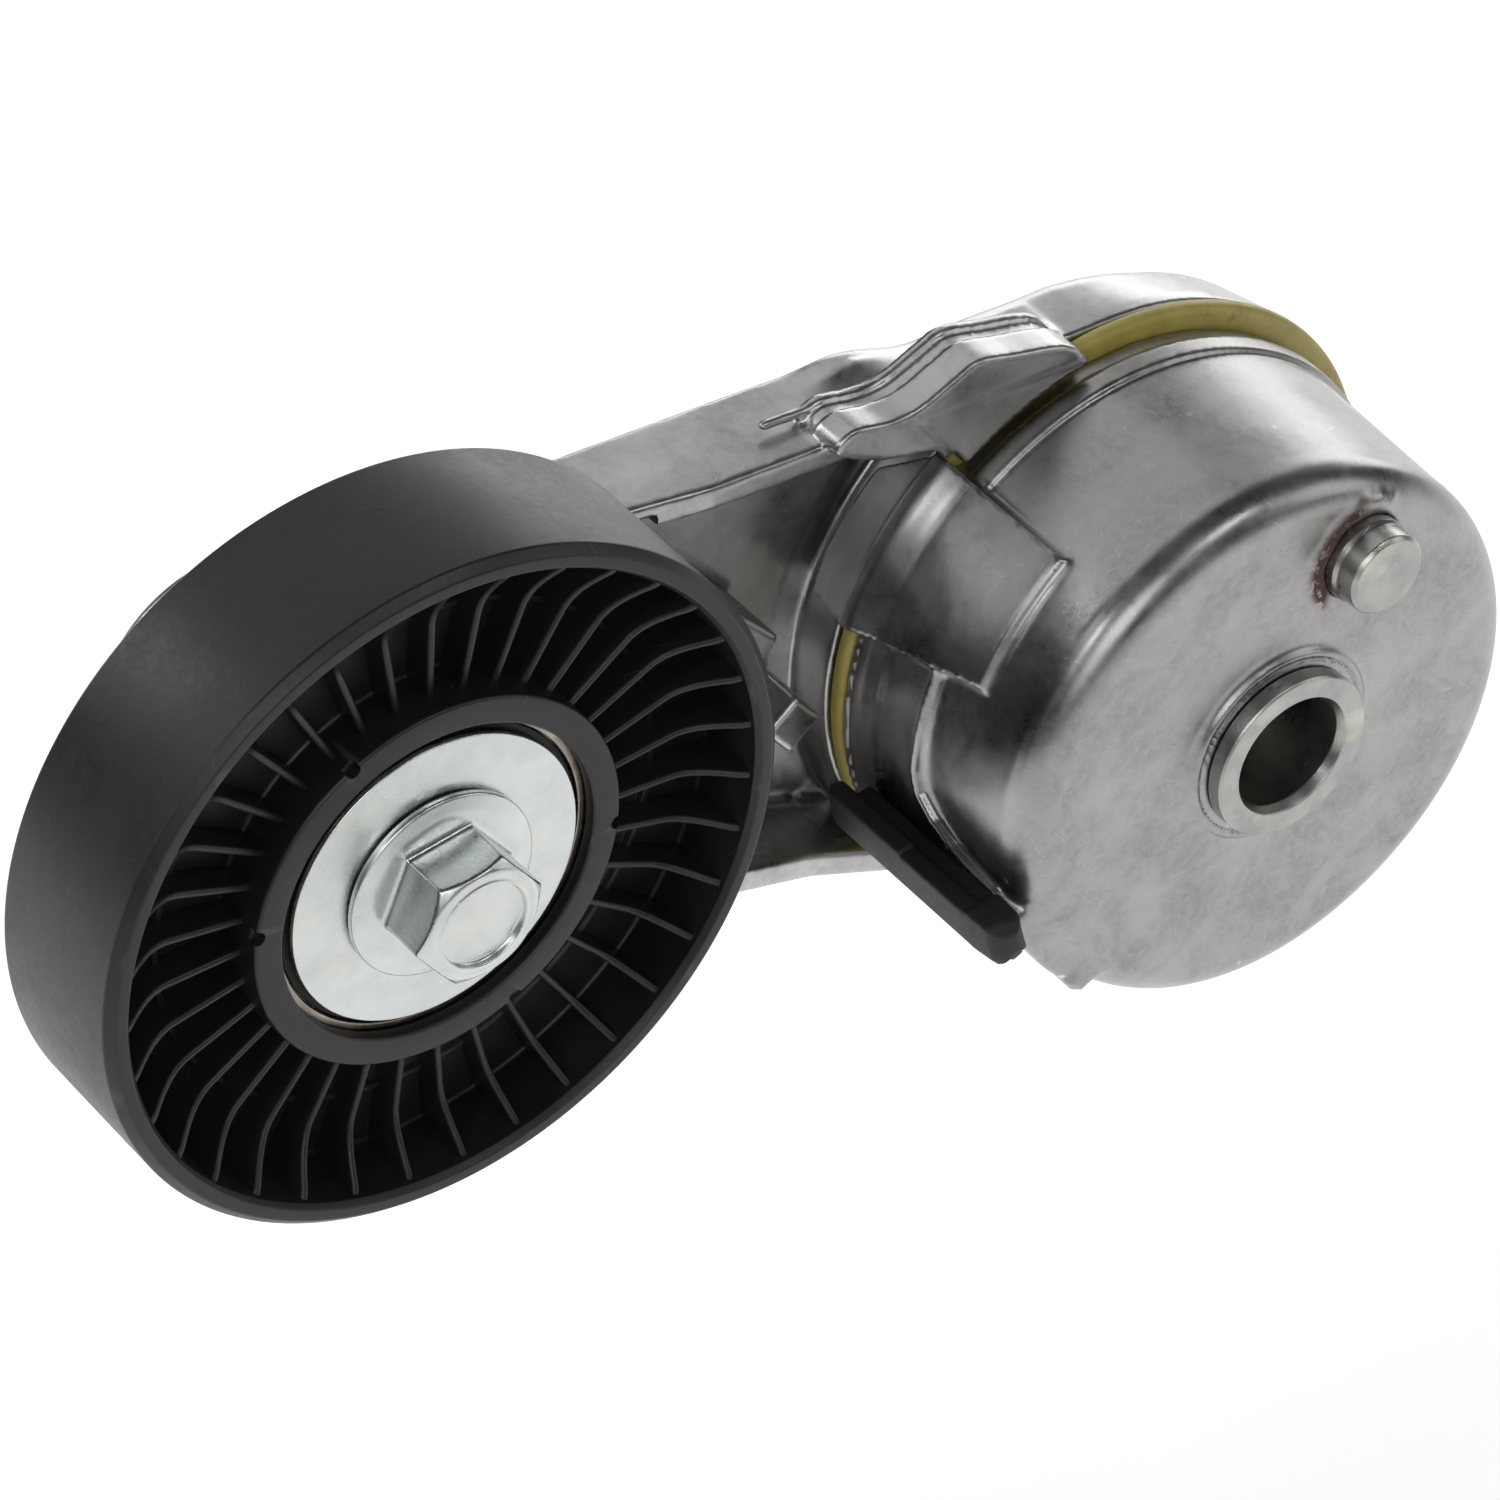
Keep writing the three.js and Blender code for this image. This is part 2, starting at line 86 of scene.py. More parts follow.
WHEEL = Extent("pulley_wheel")
BOLT = Extent("pulley_bolt")
TUBE = Extent("pivot_tube")
PIN = Extent("locating_pin")
RING = Extent("wear_ring")
ARM = Extent("tensioner_arm")
BEARING = Extent("bearing_outer_ring")
FRONT_SEAL = Extent("front_seal")
REAR_SEAL = Extent("rear_seal")
FRONT_SHIELD = Extent("front_dust_shield")
REAR_SHIELD = Extent("rear_dust_shield")
WASHER = Extent("retaining_washer")
SPACER = Extent("bearing_spacer")
COIL = Extent("torsion_spring")

AXIS = (WHEEL.x, WHEEL.z)  # the pulley's axis
ARM_LENGTH = math.hypot(*AXIS)
ARM_ANGLE = math.atan2(AXIS[1], AXIS[0])


# ---- Mesh helpers ----

def placed(name, data):
    """A new object in the scene."""
    item = bpy.data.objects.new(name, data)
    bpy.context.scene.collection.objects.link(item)
    return item


def mesh_of(name, points, faces):
    """A mesh in metres from points in millimetres, with faces outwards and edges kept sharp by angle."""
    mesh = bpy.data.meshes.new(name)
    mesh.from_pydata((np.asarray(points, float) * MM).tolist(), [], [list(face) for face in faces])
    mesh.update()
    turn_outwards(mesh)
    mesh.shade_smooth()
    mesh.set_sharp_from_angle(angle=SHARP_ANGLE)
    return mesh


def turn_outwards(mesh):
    """Flips a mesh whose signed volume is negative."""
    mesh.calc_loop_triangles()
    count = len(mesh.loop_triangles)
    corners = np.zeros(count * 3, np.int32)
    mesh.loop_triangles.foreach_get("vertices", corners)
    places = np.zeros(len(mesh.vertices) * 3, np.float32)
    mesh.vertices.foreach_get("co", places)
    a, b, c = places.reshape(-1, 3)[corners.reshape(-1, 3)].transpose(1, 0, 2)
    if np.einsum("ij,ij->i", a, np.cross(b, c)).sum() < 0:
        mesh.flip_normals()


def filleted(corners, segments=6):
    """A closed outline with its corners rounded: each corner is (a, b) or (a, b, fillet radius)."""
    points = []
    count = len(corners)
    for i, corner in enumerate(corners):
        here = np.array(corner[:2], float)
        if len(corner) < 3:
            points.append(here)
            continue
        back = np.array(corners[i - 1][:2], float) - here
        ahead = np.array(corners[(i + 1) % count][:2], float) - here
        room = min(np.linalg.norm(back), np.linalg.norm(ahead)) * 0.49
        back, ahead = back / np.linalg.norm(back), ahead / np.linalg.norm(ahead)
        half = math.acos(np.clip(back @ ahead, -1, 1)) / 2
        reach = min(corner[2] / math.tan(half), room)
        radius = reach * math.tan(half)
        centre = here + (back + ahead) / np.linalg.norm(back + ahead) * radius / math.sin(half)
        start, end = here + back * reach - centre, here + ahead * reach - centre
        turn = math.atan2(start[0] * end[1] - start[1] * end[0], start @ end)
        for step in range(segments + 1):
            angle = turn * step / segments
            c, s = math.cos(angle), math.sin(angle)
            swung = np.array([c * start[0] - s * start[1], s * start[0] + c * start[1]])
            points.append(centre + swung)
    return points


def turned_shape(corners, centre, steps):
    """Points and faces of a closed profile of (radius, y) corners turned round an axis along Y."""
    profile = np.array(filleted(corners))
    angles = np.arange(steps) * 2 * math.pi / steps
    around = np.stack([np.cos(angles), np.sin(angles)], 1)
    radius, y = profile[:, 0], profile[:, 1]
    points = np.empty((steps, len(profile), 3))
    points[..., 0] = centre[0] + around[:, :1] * radius
    points[..., 1] = y
    points[..., 2] = centre[1] + around[:, 1:] * radius
    rows = len(profile)
    i, j = np.meshgrid(np.arange(steps), np.arange(rows), indexing="ij")
    i2, j2 = (i + 1) % steps, (j + 1) % rows
    faces = np.stack([i * rows + j, i2 * rows + j, i2 * rows + j2, i * rows + j2], -1).reshape(-1, 4)
    return points.reshape(-1, 3), faces


def turned(name, corners, centre, steps):
    return mesh_of(name, *turned_shape(corners, centre, steps))


def solid_disc(name, corners, centre, steps):
    """A turned piece whose open profile starts and ends on the axis."""
    profile = np.array(filleted([(0, corners[0][1]), *corners, (0, corners[-1][1])]))[1:-1]
    points, faces = turned_shape([tuple(p) for p in profile], centre, steps)
    rows = len(profile)
    keep = [face for face in faces.tolist() if {face[0] % rows, face[3] % rows} != {0, rows - 1}]
    caps = [[i * rows for i in range(steps)], [i * rows + rows - 1 for i in reversed(range(steps))]]
    return mesh_of(name, points, keep + caps)


def joined(shapes):
    """Several (points, faces) shapes as one."""
    points, faces, base = [], [], 0
    for shape_points, shape_faces in shapes:
        points.extend(np.asarray(shape_points).tolist())
        faces.extend([[index + base for index in face] for face in shape_faces])
        base += len(shape_points)
    return points, faces


def grid_shape(rings):
    """A closed tube through equal rings of points, capped at both ends."""
    count = len(rings[0])
    points = [p for ring in rings for p in ring]
    faces = []
    for i in range(len(rings) - 1):
        for j in range(count):
            a, b = i * count + j, i * count + (j + 1) % count
            faces.append([a, b, b + count, a + count])
    last = (len(rings) - 1) * count
    faces.append(list(range(count))[::-1])
    faces.append([last + j for j in range(count)])
    return points, faces


# ---- Distance fields for the castings, in millimetres ----

def union(a, b, blend=0.0):
    if not blend:
        return np.minimum(a, b)
    near = np.maximum(blend - np.abs(a - b), 0) / blend
    return np.minimum(a, b) - near * near * blend / 4


def shared(a, b, blend=0.0):
    return -union(-a, -b, blend)


def without(a, b, blend=0.0):
    return -union(-a, b, blend)


def eased(value, start, end):
    """0 before start and 1 after end, with a smooth rise between."""
    share = np.clip((value - start) / (end - start), 0, 1)
    return share * share * (3 - 2 * share)


def rotated(x, z, angle):
    """Lengths along and across a direction in the XZ plane."""
    c, s = math.cos(angle), math.sin(angle)
    return x * c + z * s, z * c - x * s


def degrees_round(x, z):
    """The angle round the pivot, from 0 to 360 degrees."""
    return np.degrees(np.arctan2(z, x)) % 360


def rounded(u, v, fillet):
    """The space inside both distances, with a fillet along their common edge."""
    u, v = u + fillet, v + fillet
    return np.minimum(np.maximum(u, v), 0) + np.hypot(np.maximum(u, 0), np.maximum(v, 0)) - fillet


def slab(outline, y, front, back, fillet):
    """A flat outline's distance, given thickness along Y, with its edges rounded."""
    return rounded(outline, np.abs(y - (front + back) / 2) - (back - front) / 2, fillet)


def polygon(corners, x, z):
    """Signed distance to a closed polygon."""
    square = np.full(np.shape(x), 1e9)
    sign = np.ones(np.shape(x))
    for (ax, az), (bx, bz) in zip(corners, corners[-1:] + corners[:-1]):
        ex, ez = bx - ax, bz - az
        wx, wz = x - ax, z - az
        along = np.clip((wx * ex + wz * ez) / (ex * ex + ez * ez), 0, 1)
        square = np.minimum(square, (wx - ex * along) ** 2 + (wz - ez * along) ** 2)
        above, below, side = z >= az, z < bz, ex * wz > ez * wx
        flip = (above & below & side) | (~above & ~below & ~side)
        sign = np.where(flip, -sign, sign)
    return sign * np.sqrt(square)


def two_circle_hull(x, z, first, second):
    """Distance to the outline that wraps a circle on the pivot and one on the pulley's axis."""
    along, across = rotated(x, z, ARM_ANGLE)
    across = np.abs(across)
    lean = (first - second) / ARM_LENGTH
    straight = math.sqrt(1 - lean * lean)
    reach = straight * along - lean * across
    hub = np.hypot(along, across) - first
    boss = np.hypot(along - ARM_LENGTH, across) - second
    side = across * straight + along * lean - first
    return np.where(reach < 0, hub, np.where(reach > straight * ARM_LENGTH, boss, side))


BLOCK_CELLS = 5  # cells along a block of the coarse grid
NEAR_BLOCKS = 0.95  # a block this many sides from the surface, or nearer, is worked out cell by cell
PULLS = 4  # steps that pull each point onto the field


def sampled(field, low, high, cell):
    """The field in the middle of each cell of a box, worked out cell by cell only near the surface."""
    step = cell * BLOCK_CELLS
    blocks = np.ceil((high - low) / step).astype(int)
    middles = [low[a] + (np.arange(blocks[a]) + 0.5) * step for a in range(3)]
    coarse = field(*np.meshgrid(*middles, indexing="ij"))
    for axis in range(3):
        coarse = coarse.repeat(BLOCK_CELLS, axis)
    value = coarse.astype(np.float32)
    near = np.nonzero(np.abs(value) < NEAR_BLOCKS * step)
    value[near] = field(*[low[a] + (near[a] + 0.5) * cell for a in range(3)])
    return value


def surface_net(value, low, cell):
    """One point in each cell that the surface crosses, and outward quads between them."""
    inside = value < 0
    corners = [(i, j, k) for i in (0, 1) for j in (0, 1) for k in (0, 1)]
    shape = np.array(inside.shape) - 1
    window = lambda data, c: data[c[0]:c[0] + shape[0], c[1]:c[1] + shape[1], c[2]:c[2] + shape[2]]
    count = sum(window(inside, c).astype(np.uint8) for c in corners)
    mixed = (count > 0) & (count < 8)
    cells = np.array(np.nonzero(mixed))
    index = np.full(mixed.shape, -1, np.int64)
    index[mixed] = np.arange(cells.shape[1])
    held = np.stack([window(value, c)[mixed] for c in corners])
    total, crossings = np.zeros((3, cells.shape[1])), np.zeros(cells.shape[1])
    for p, a in enumerate(corners):
        for q, b in enumerate(corners):
            if q > p and sum(abs(m - n) for m, n in zip(a, b)) == 1:
                crossed = (held[p] < 0) != (held[q] < 0)
                spread = np.where(crossed, held[p] - held[q], 1)
                share = held[p] / spread
                for axis in range(3):
                    total[axis] += np.where(crossed, a[axis] + share * (b[axis] - a[axis]), 0)
                crossings += crossed
    points = (low[:, None] + (cells + total / crossings + 0.5) * cell).T

    faces = []
    for axis in range(3):
        u, v = (axis + 1) % 3, (axis + 2) % 3
        first = inside.take(range(inside.shape[axis] - 1), axis)
        second = inside.take(range(1, inside.shape[axis]), axis)
        place = np.array(np.nonzero(first != second))
        middle = (place[u] > 0) & (place[v] > 0) & (place[u] < shape[u]) & (place[v] < shape[v])
        place = place[:, middle]
        ring = []
        for du, dv in ((1, 1), (0, 1), (0, 0), (1, 0)):
            spot = place.copy()
            spot[u] -= du
            spot[v] -= dv
            ring.append(index[tuple(spot)])
        ring = np.stack(ring, 1)
        outward = first[tuple(place)]
        ring[~outward] = ring[~outward][:, ::-1]
        faces.append(ring)
    return points, np.concatenate(faces)


def onto_field(points, field, cell):
    """One Newton step of each point towards the field's zero surface."""
    probe = 0.02
    here = field(*points.T)
    slope = np.stack([field(*(points + probe * np.eye(3)[a]).T) - here for a in range(3)], 1) / probe
    steep = np.maximum((slope * slope).sum(1), 0.25)
    move = -slope * (here / steep)[:, None]
    length = np.linalg.norm(move, axis=1, keepdims=True)
    return points + move * np.minimum(1, 0.4 * cell / np.maximum(length, 1e-9))


def field_mesh(name, field, low, high, cell):
    """The zero surface of a distance field: a net of quads, each point then pulled onto the field."""
    low = np.array(low, float) - 2 * cell
    high = np.array(high, float) + 2 * cell
    points, faces = surface_net(sampled(field, low, high, cell), low, cell)
    for _ in range(PULLS):
        points = onto_field(points, field, cell)
    mesh = bpy.data.meshes.new(name)
    mesh.vertices.add(len(points))
    mesh.vertices.foreach_set("co", (points * MM).astype(np.float32).ravel())
    mesh.loops.add(faces.size)
    mesh.loops.foreach_set("vertex_index", faces.astype(np.int32).ravel())
    mesh.polygons.add(len(faces))
    mesh.polygons.foreach_set("loop_start", np.arange(0, faces.size, 4, dtype=np.int32))
    mesh.update(calc_edges=True)
    turn_outwards(mesh)
    mesh.shade_smooth()
    return mesh


# ---- Materials ----

class Shader:
    """A node material on Object coordinates, with lengths in millimetres."""

    def __init__(self, name, metallic=0.0):
        self.material = bpy.data.materials.new(name)
        self.material.use_nodes = True
        self.tree = self.material.node_tree
        self.surface = self.tree.nodes["Principled BSDF"]
        self.surface.inputs["Metallic"].default_value = metallic
        self.place = self.add("ShaderNodeTexCoord").outputs["Object"]

    def add(self, kind, links=None, **settings):
        node = self.tree.nodes.new(kind)
        for key, value in settings.items():
            setattr(node, key, value)
        for socket, value in (links or {}).items():
            self.set(node.inputs[socket], value)
        return node

    def set(self, socket, value):
        if isinstance(value, bpy.types.NodeSocket):
            self.tree.links.new(value, socket)
        else:
            socket.default_value = value

    def math(self, operation, first, second=0.0, clamp=False):
        node = self.add("ShaderNodeMath", {0: first, 1: second}, operation=operation, use_clamp=clamp)
        return node.outputs[0]

    def times(self, first, second):
        return self.math("MULTIPLY", first, second)

    def plus(self, first, second):
        return self.math("ADD", first, second)

    def vector(self, operation, first, second=(0, 0, 0)):
        node = self.add("ShaderNodeVectorMath", {0: first, 1: second}, operation=operation)
        return node.outputs["Value" if operation in ("LENGTH", "DOT_PRODUCT") else "Vector"]

    def stretched(self, scale):
        return self.add("ShaderNodeMapping", {"Vector": self.place, "Scale": scale}).outputs[0]

    def noise(self, size, detail=3.0, rough=0.55, place=None, distort=0.0):
        """Noise whose lumps are about size millimetres, mostly from 0.3 to 0.7."""
        links = {"Vector": place or self.place, "Scale": 1 / (size * MM), "Detail": detail,
                 "Roughness": rough, "Distortion": distort}
        return self.add("ShaderNodeTexNoise", links).outputs[0]

    def band(self, value, low, high, bottom=0.0, top=1.0):
        """The value spread linearly from low..high to bottom..top, and held beyond."""
        node = self.add("ShaderNodeMapRange", {0: value, 1: low, 2: high, 3: bottom, 4: top})
        return node.outputs[0]

    def mix(self, share, first, second):
        colour = lambda value: (*value, 1.0) if isinstance(value, tuple) else value
        links = {0: share, 6: colour(first), 7: colour(second)}
        return self.add("ShaderNodeMix", links, data_type="RGBA").outputs[2]

    def scratches(self, size, width, share, seed):
        """Short straight scratches: each cell of a Voronoi pattern is crossed by one thin plane."""
        offset = self.vector("ADD", self.place, (seed * 0.013, seed * 0.007, -seed * 0.011))
        cell = self.add("ShaderNodeTexVoronoi", {"Vector": offset, "Scale": 1 / (size * MM)})
        local = self.vector("SUBTRACT", offset, cell.outputs["Position"])
        lean = self.vector("SUBTRACT", cell.outputs["Color"], (0.5, 0.5, 0.5))
        lean = self.vector("NORMALIZE", lean)
        away = self.math("ABSOLUTE", self.vector("DOT_PRODUCT", local, lean))
        line = self.band(away, width * MM * 0.4, width * MM, 1.0, 0.0)
        tone = self.add("ShaderNodeSeparateColor", {0: cell.outputs["Color"]}).outputs[1]
        chosen = self.math("LESS_THAN", tone, share)
        fade = self.band(self.noise(size * 0.8, 2), 0.42, 0.56)
        return self.times(self.times(line, chosen), fade)

    def edges(self, low, high):
        """1 on convex edges, above the pointiness called high, and 0 below low: the mask for a painted
        highlight along edges that catch the light, partly also wear.
        """
        return self.band(self.add("ShaderNodeNewGeometry").outputs["Pointiness"], low, high)

    def bump(self, height, distance, strength, normal=None):
        """A bump whose height, from 0 to 1, stands for distance millimetres."""
        links = {"Height": height, "Distance": distance * MM, "Strength": strength}
        if normal:
            links["Normal"] = normal
        return self.add("ShaderNodeBump", links).outputs[0]

    def finish(self, colour, roughness, normal=None):
        self.set(self.surface.inputs["Base Color"], colour)
        self.set(self.surface.inputs["Roughness"], roughness)
        if normal:
            self.set(self.surface.inputs["Normal"], normal)
        return self.material


def cast_aluminium(name, stain_at=None, tone=1.0):
    """Die-cast aluminium: cloudy grey, with fine short scratches, and convex edges lightened: a painted
    highlight where the edges catch the light, partly also wear.
    """
    s = Shader(name, metallic=1.0)
    cloud = s.noise(9, 4, 0.6, distort=0.4)
    mottle = s.noise(1.3, 5, 0.7)
    grey = lambda level, warm=0.0: (level * tone, (level - warm * 0.3) * tone, (level - warm) * tone)
    base = s.mix(s.band(cloud, 0.35, 0.68), grey(0.29), grey(0.47, 0.01))
    base = s.mix(s.band(mottle, 0.3, 0.75, 0, 0.5), base, grey(0.56, 0.025))
    fine = s.scratches(1.5, 0.028, 0.8, 1)
    long = s.scratches(3.6, 0.035, 0.35, 7)
    marks = s.math("MAXIMUM", fine, s.times(long, 0.7))
    # Painted highlight, partly also wear: convex edges, patchy by noise, are lightened and made smoother as
    # if catching the light.
    edge = s.times(s.edges(0.58, 0.68), s.band(s.noise(1.8, 3), 0.35, 0.6))
    base = s.mix(s.times(marks, 0.36), base, (0.80, 0.79, 0.76))
    base = s.mix(s.times(edge, 0.75), base, (0.92, 0.92, 0.90))
    rough = s.band(cloud, 0.3, 0.7, 0.24, 0.36)
    rough = s.plus(rough, s.band(mottle, 0.3, 0.7, 0.0, 0.05))
    rough = s.math("SUBTRACT", rough, s.times(edge, 0.10), clamp=True)
    height = s.plus(s.times(s.noise(0.45, 3, 0.5), 0.15), s.noise(3.4, 2, 0.4))
    normal = s.bump(height, 0.06, 0.7)
    if stain_at:
        base, rough = sealant_stain(s, base, rough, stain_at)
    return s.finish(base, rough, normal)


def sealant_stain(s, base, rough, centre):
    """A red-brown smear of thread sealant in the crook beside a pin."""
    local = s.vector("SUBTRACT", s.place, tuple(value * MM for value in centre))
    out = s.vector("LENGTH", s.vector("MULTIPLY", local, (1, 0, 1)))
    side = s.vector("DOT_PRODUCT", local, (-0.93, 0, 0.37))
    ring = s.times(s.band(out, 7.9 * MM, 6.9 * MM), s.band(side, 1.6 * MM, 3.6 * MM))
    torn = s.times(ring, s.band(s.noise(1.1, 4, 0.7), 0.36, 0.5))
    base = s.mix(s.times(torn, 0.7), base, (0.16, 0.05, 0.04))
    return base, s.math("MAXIMUM", rough, torn)


def plated_steel(name, light=(0.76, 0.79, 0.79), dark=(0.65, 0.68, 0.68), rough=(0.21, 0.34)):
    """Bright zinc plate, unless given other tones: cloudy, faintly yellow in places, lightly marked."""
    s = Shader(name, metallic=1.0)
    cloud = s.noise(4.5, 3, 0.55)
    tint = s.noise(7, 2, 0.5, place=s.stretched((1, 1, 1.7)))
    base = s.mix(s.band(cloud, 0.35, 0.65), dark, light)
    base = s.mix(s.band(tint, 0.54, 0.72, 0, 0.35), base, (0.82, 0.80, 0.64))
    marks = s.scratches(1.7, 0.03, 0.4, 3)
    base = s.mix(s.times(marks, 0.4), base, (0.93, 0.93, 0.92))
    roughness = s.plus(s.band(cloud, 0.3, 0.7, *rough), s.times(marks, 0.1))
    grain = s.plus(s.noise(0.3, 3, 0.6), s.times(s.noise(2.6, 2), 0.8))
    normal = s.bump(grain, 0.028, 0.7)
    normal = s.bump(marks, -0.008, 0.7, normal)
    return s.finish(base, roughness, normal)


def machined_steel(name):
    return plated_steel(name, (0.46, 0.46, 0.44), (0.35, 0.35, 0.34), (0.24, 0.36))


def black_nylon(name, colour=(0.010, 0.009, 0.0095), rough=(0.34, 0.44)):
    """Glass-filled nylon: nearly black, satin, with faint pale flow marks and a fine grain."""
    s = Shader(name)
    cloud = s.noise(14, 3, 0.5)
    speck = s.noise(0.8, 3, 0.6)
    base = s.mix(s.band(cloud, 0.3, 0.7), colour, tuple(value * 1.35 for value in colour))
    # Painted highlight, partly also wear: convex edges, such as the ribs' rims, are lightened as if catching
    # the light.
    edge = s.times(s.edges(0.53, 0.64), 0.35)
    base = s.mix(edge, base, (0.10, 0.095, 0.095))
    marks = s.scratches(4.0, 0.04, 0.25, 5)
    base = s.mix(s.times(marks, 0.25), base, (0.12, 0.12, 0.12))
    roughness = s.plus(s.band(cloud, 0.3, 0.7, *rough), s.band(speck, 0.3, 0.7, -0.03, 0.05))
    normal = s.bump(s.plus(speck, s.noise(0.25, 3)), 0.016, 0.6)
    return s.finish(base, roughness, normal)


def rubber(name):
    return black_nylon(name, (0.009, 0.007, 0.0065), (0.50, 0.62))


def yellow_nylon(name):
    """Olive-yellow bearing nylon, slightly oily, with dark smears."""
    s = Shader(name)
    s.surface.inputs["Subsurface Weight"].default_value = 0.05
    smear = s.noise(6, 4, 0.6)
    base = s.mix(s.band(smear, 0.35, 0.7), (0.40, 0.31, 0.065), (0.52, 0.43, 0.12))
    base = s.mix(s.band(s.noise(2.2, 4, 0.65), 0.56, 0.72, 0, 0.5), base, (0.15, 0.11, 0.03))
    rough = s.band(s.noise(2.5, 3), 0.3, 0.7, 0.34, 0.5)
    return s.finish(base, rough, s.bump(s.noise(0.5, 3), 0.02, 0.6))


def spring_steel(name):
    return plated_steel(name, (0.16, 0.16, 0.17), (0.09, 0.09, 0.10), (0.34, 0.46))


def bearing_steel(name):
    return plated_steel(name, (0.40, 0.36, 0.32), (0.28, 0.24, 0.20), (0.24, 0.34))


STAIN_AT = (PIN.x, 0, PIN.z)
FINISHES = {"plain_steel": machined_steel, "zinc_steel": plated_steel, "bearing_steel": bearing_steel,
            "spring_steel": spring_steel, "black_nylon": black_nylon, "black_plastic": rubber,
            "seal_rubber": rubber, "yellow_nylon": yellow_nylon}
MATERIAL = {"case": cast_aluminium("cast_aluminium_case", STAIN_AT, 0.89),
            "arm": cast_aluminium("cast_aluminium_arm", tone=1.14)}
MATERIAL.update((name, make(name)) for name, make in FINISHES.items())


def piece(name, mesh, body, slot, node, material=None):
    """Shows a finished mesh in place of a CAD node, as a piece that rides on a body."""
    item = placed(name, mesh)
    mesh.materials.append(MATERIAL[material or slot])
    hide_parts(node)
    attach(item, body)


def turned_piece(name, profile, body, slot, node, centre=(0, 0), steps=SMALL_STEPS):
    piece(name, turned(f"{name}_turned", profile, centre, steps), body, slot, node)


# ---- The spring case ----

CASE_DEPTH = RING.front - GAP  # the open end behind the wear ring
WALL = Sizes(radius=35.25, taper=0.010, fillet=4.2, inside=32.2)
FLOOR = Sizes(thick=4.6, corner=2.6, boss=14.0, boss_top=6.8)
COLLAR = Sizes(radius=11.9, height=0.8, groove=11.15)
BAND = Sizes(front=25.3, back=28.3, radius=36.15)  # raised round the wall, before the wear ring
# A raised land with a bead along its edge, beside the bumper. It sinks into the wall from "fade" degrees.
LAND = Sizes(radius=36.0, front=1.0, bead=0.5, fade=203, fading=15, sunk=0.9)
LAND_EDGE = [(146, 31), (146, 17.9), (178, 17.8), (182, 17), (185.5, 14.6), (188.5, 11.4), (190, 8),
             (191, 4.5), (194, 1.6), (198, -1.5), (222, -1.5), (226, 31)]  # degrees, y
# The wall is out of round. It is drawn in at one angle, less so towards the back, and by "far" opposite.
SQUEEZE = Sizes(at=math.radians(42), front=1.9, back=0.9, start=6, over=24, far=1.2)
# The stop tab's outside rises to "flat_to", swells out as far as "outer" and falls past "crease".
TAB = Sizes(inner=37.2, front=36.4, rise=0.155, flat_to=25.0, swell=1.6, swelling=4.5,
            outer=40.2, crease=30.7, step=0.35, slope=0.2, deep=3.5, mid=142.6, fillet=0.2)
TAB_EDGE = [(127.3, 11.4), (126.9, 30.5), (134.9, 37.2), (151.8, 38.0), (158.8, 37.2), (159.0, 30.6),
            (157.6, 24.4), (155.7, 17.4), (153.8, 11.4)]  # degrees, y
TUBE_HOLE = TUBE.radius - 3.1
NUB_ANGLE = math.radians(221)
NUB = [(31, -2.4), (34.9, -1.2), (34.9, 1.3), (31, 2.2)]  # along and across its own direction
PIN_RIDGE = Sizes(radius=6.4, thick=1.1, y=0.65, flat=1.2, way=(-0.66, 0.75), start=0.6)


def shell_patch(edge, x, y, z, radius, middle):
    """Distance along a cylinder's surface to a patch on it, whose edge is given in degrees and y."""
    corners = [(math.radians(angle - middle) * radius, height) for angle, height in edge]
    return polygon(corners, np.radians(degrees_round(x, z) - middle) * radius, y)


def tab_field(x, y, z, r):
    outer = TAB.front + TAB.rise * (np.minimum(y, TAB.flat_to) - TAB_EDGE[0][1])
    swell = TAB.swell * eased(y, TAB.flat_to, TAB.flat_to + TAB.swelling)
    outer = np.minimum(outer + swell, TAB.outer)
    outer = outer - np.clip((y - TAB.crease) * 3, 0, 1) * TAB.step
    outer = outer - TAB.slope * np.maximum(y - TAB.crease, 0)
    patch = shell_patch(TAB_EDGE, x, y, z, TAB.outer, TAB.mid)
    tab = rounded(patch, np.maximum(r - outer, TAB.inner - TAB.deep - r), TAB.fillet)
    over_ring = shared(CASE_DEPTH + 0.1 - y, r - TAB.inner)
    return without(tab, over_ring, 0.3)


def land_field(x, y, z, r):
    patch = shell_patch(LAND_EDGE, x, y, z, LAND.radius, 180)
    sunk = np.clip((degrees_round(x, z) - LAND.fade) / LAND.fading, 0, 1) * LAND.sunk
    above = r - LAND.radius + sunk
    raised = shared(patch * 0.55, above, 0.9)
    bead = np.hypot(patch + LAND.bead, above + 0.1) - LAND.bead
    raised = shared(union(raised, bead, 0.25), np.maximum(33 - r, LAND.front - y), 0.8)
    return shared(raised, y - CASE_DEPTH)


def pin_surround(x, y, z):
    """The ridge of metal that the pressed-in pin has raised on one side."""
    out = np.hypot(x - PIN.x, z - PIN.z)
    side = PIN_RIDGE.way[1] * (z - PIN.z) + PIN_RIDGE.way[0] * (x - PIN.x)
    waves = 0.18 * np.sin(1.1 * x + 0.7 * z) + 0.10 * np.sin(2.3 * x - 1.9 * z)
    height = (y - PIN_RIDGE.y) * PIN_RIDGE.flat
    ridge = np.hypot(out - PIN_RIDGE.radius - waves, height) - PIN_RIDGE.thick
    return shared(ridge, PIN_RIDGE.start - side, 2.0)


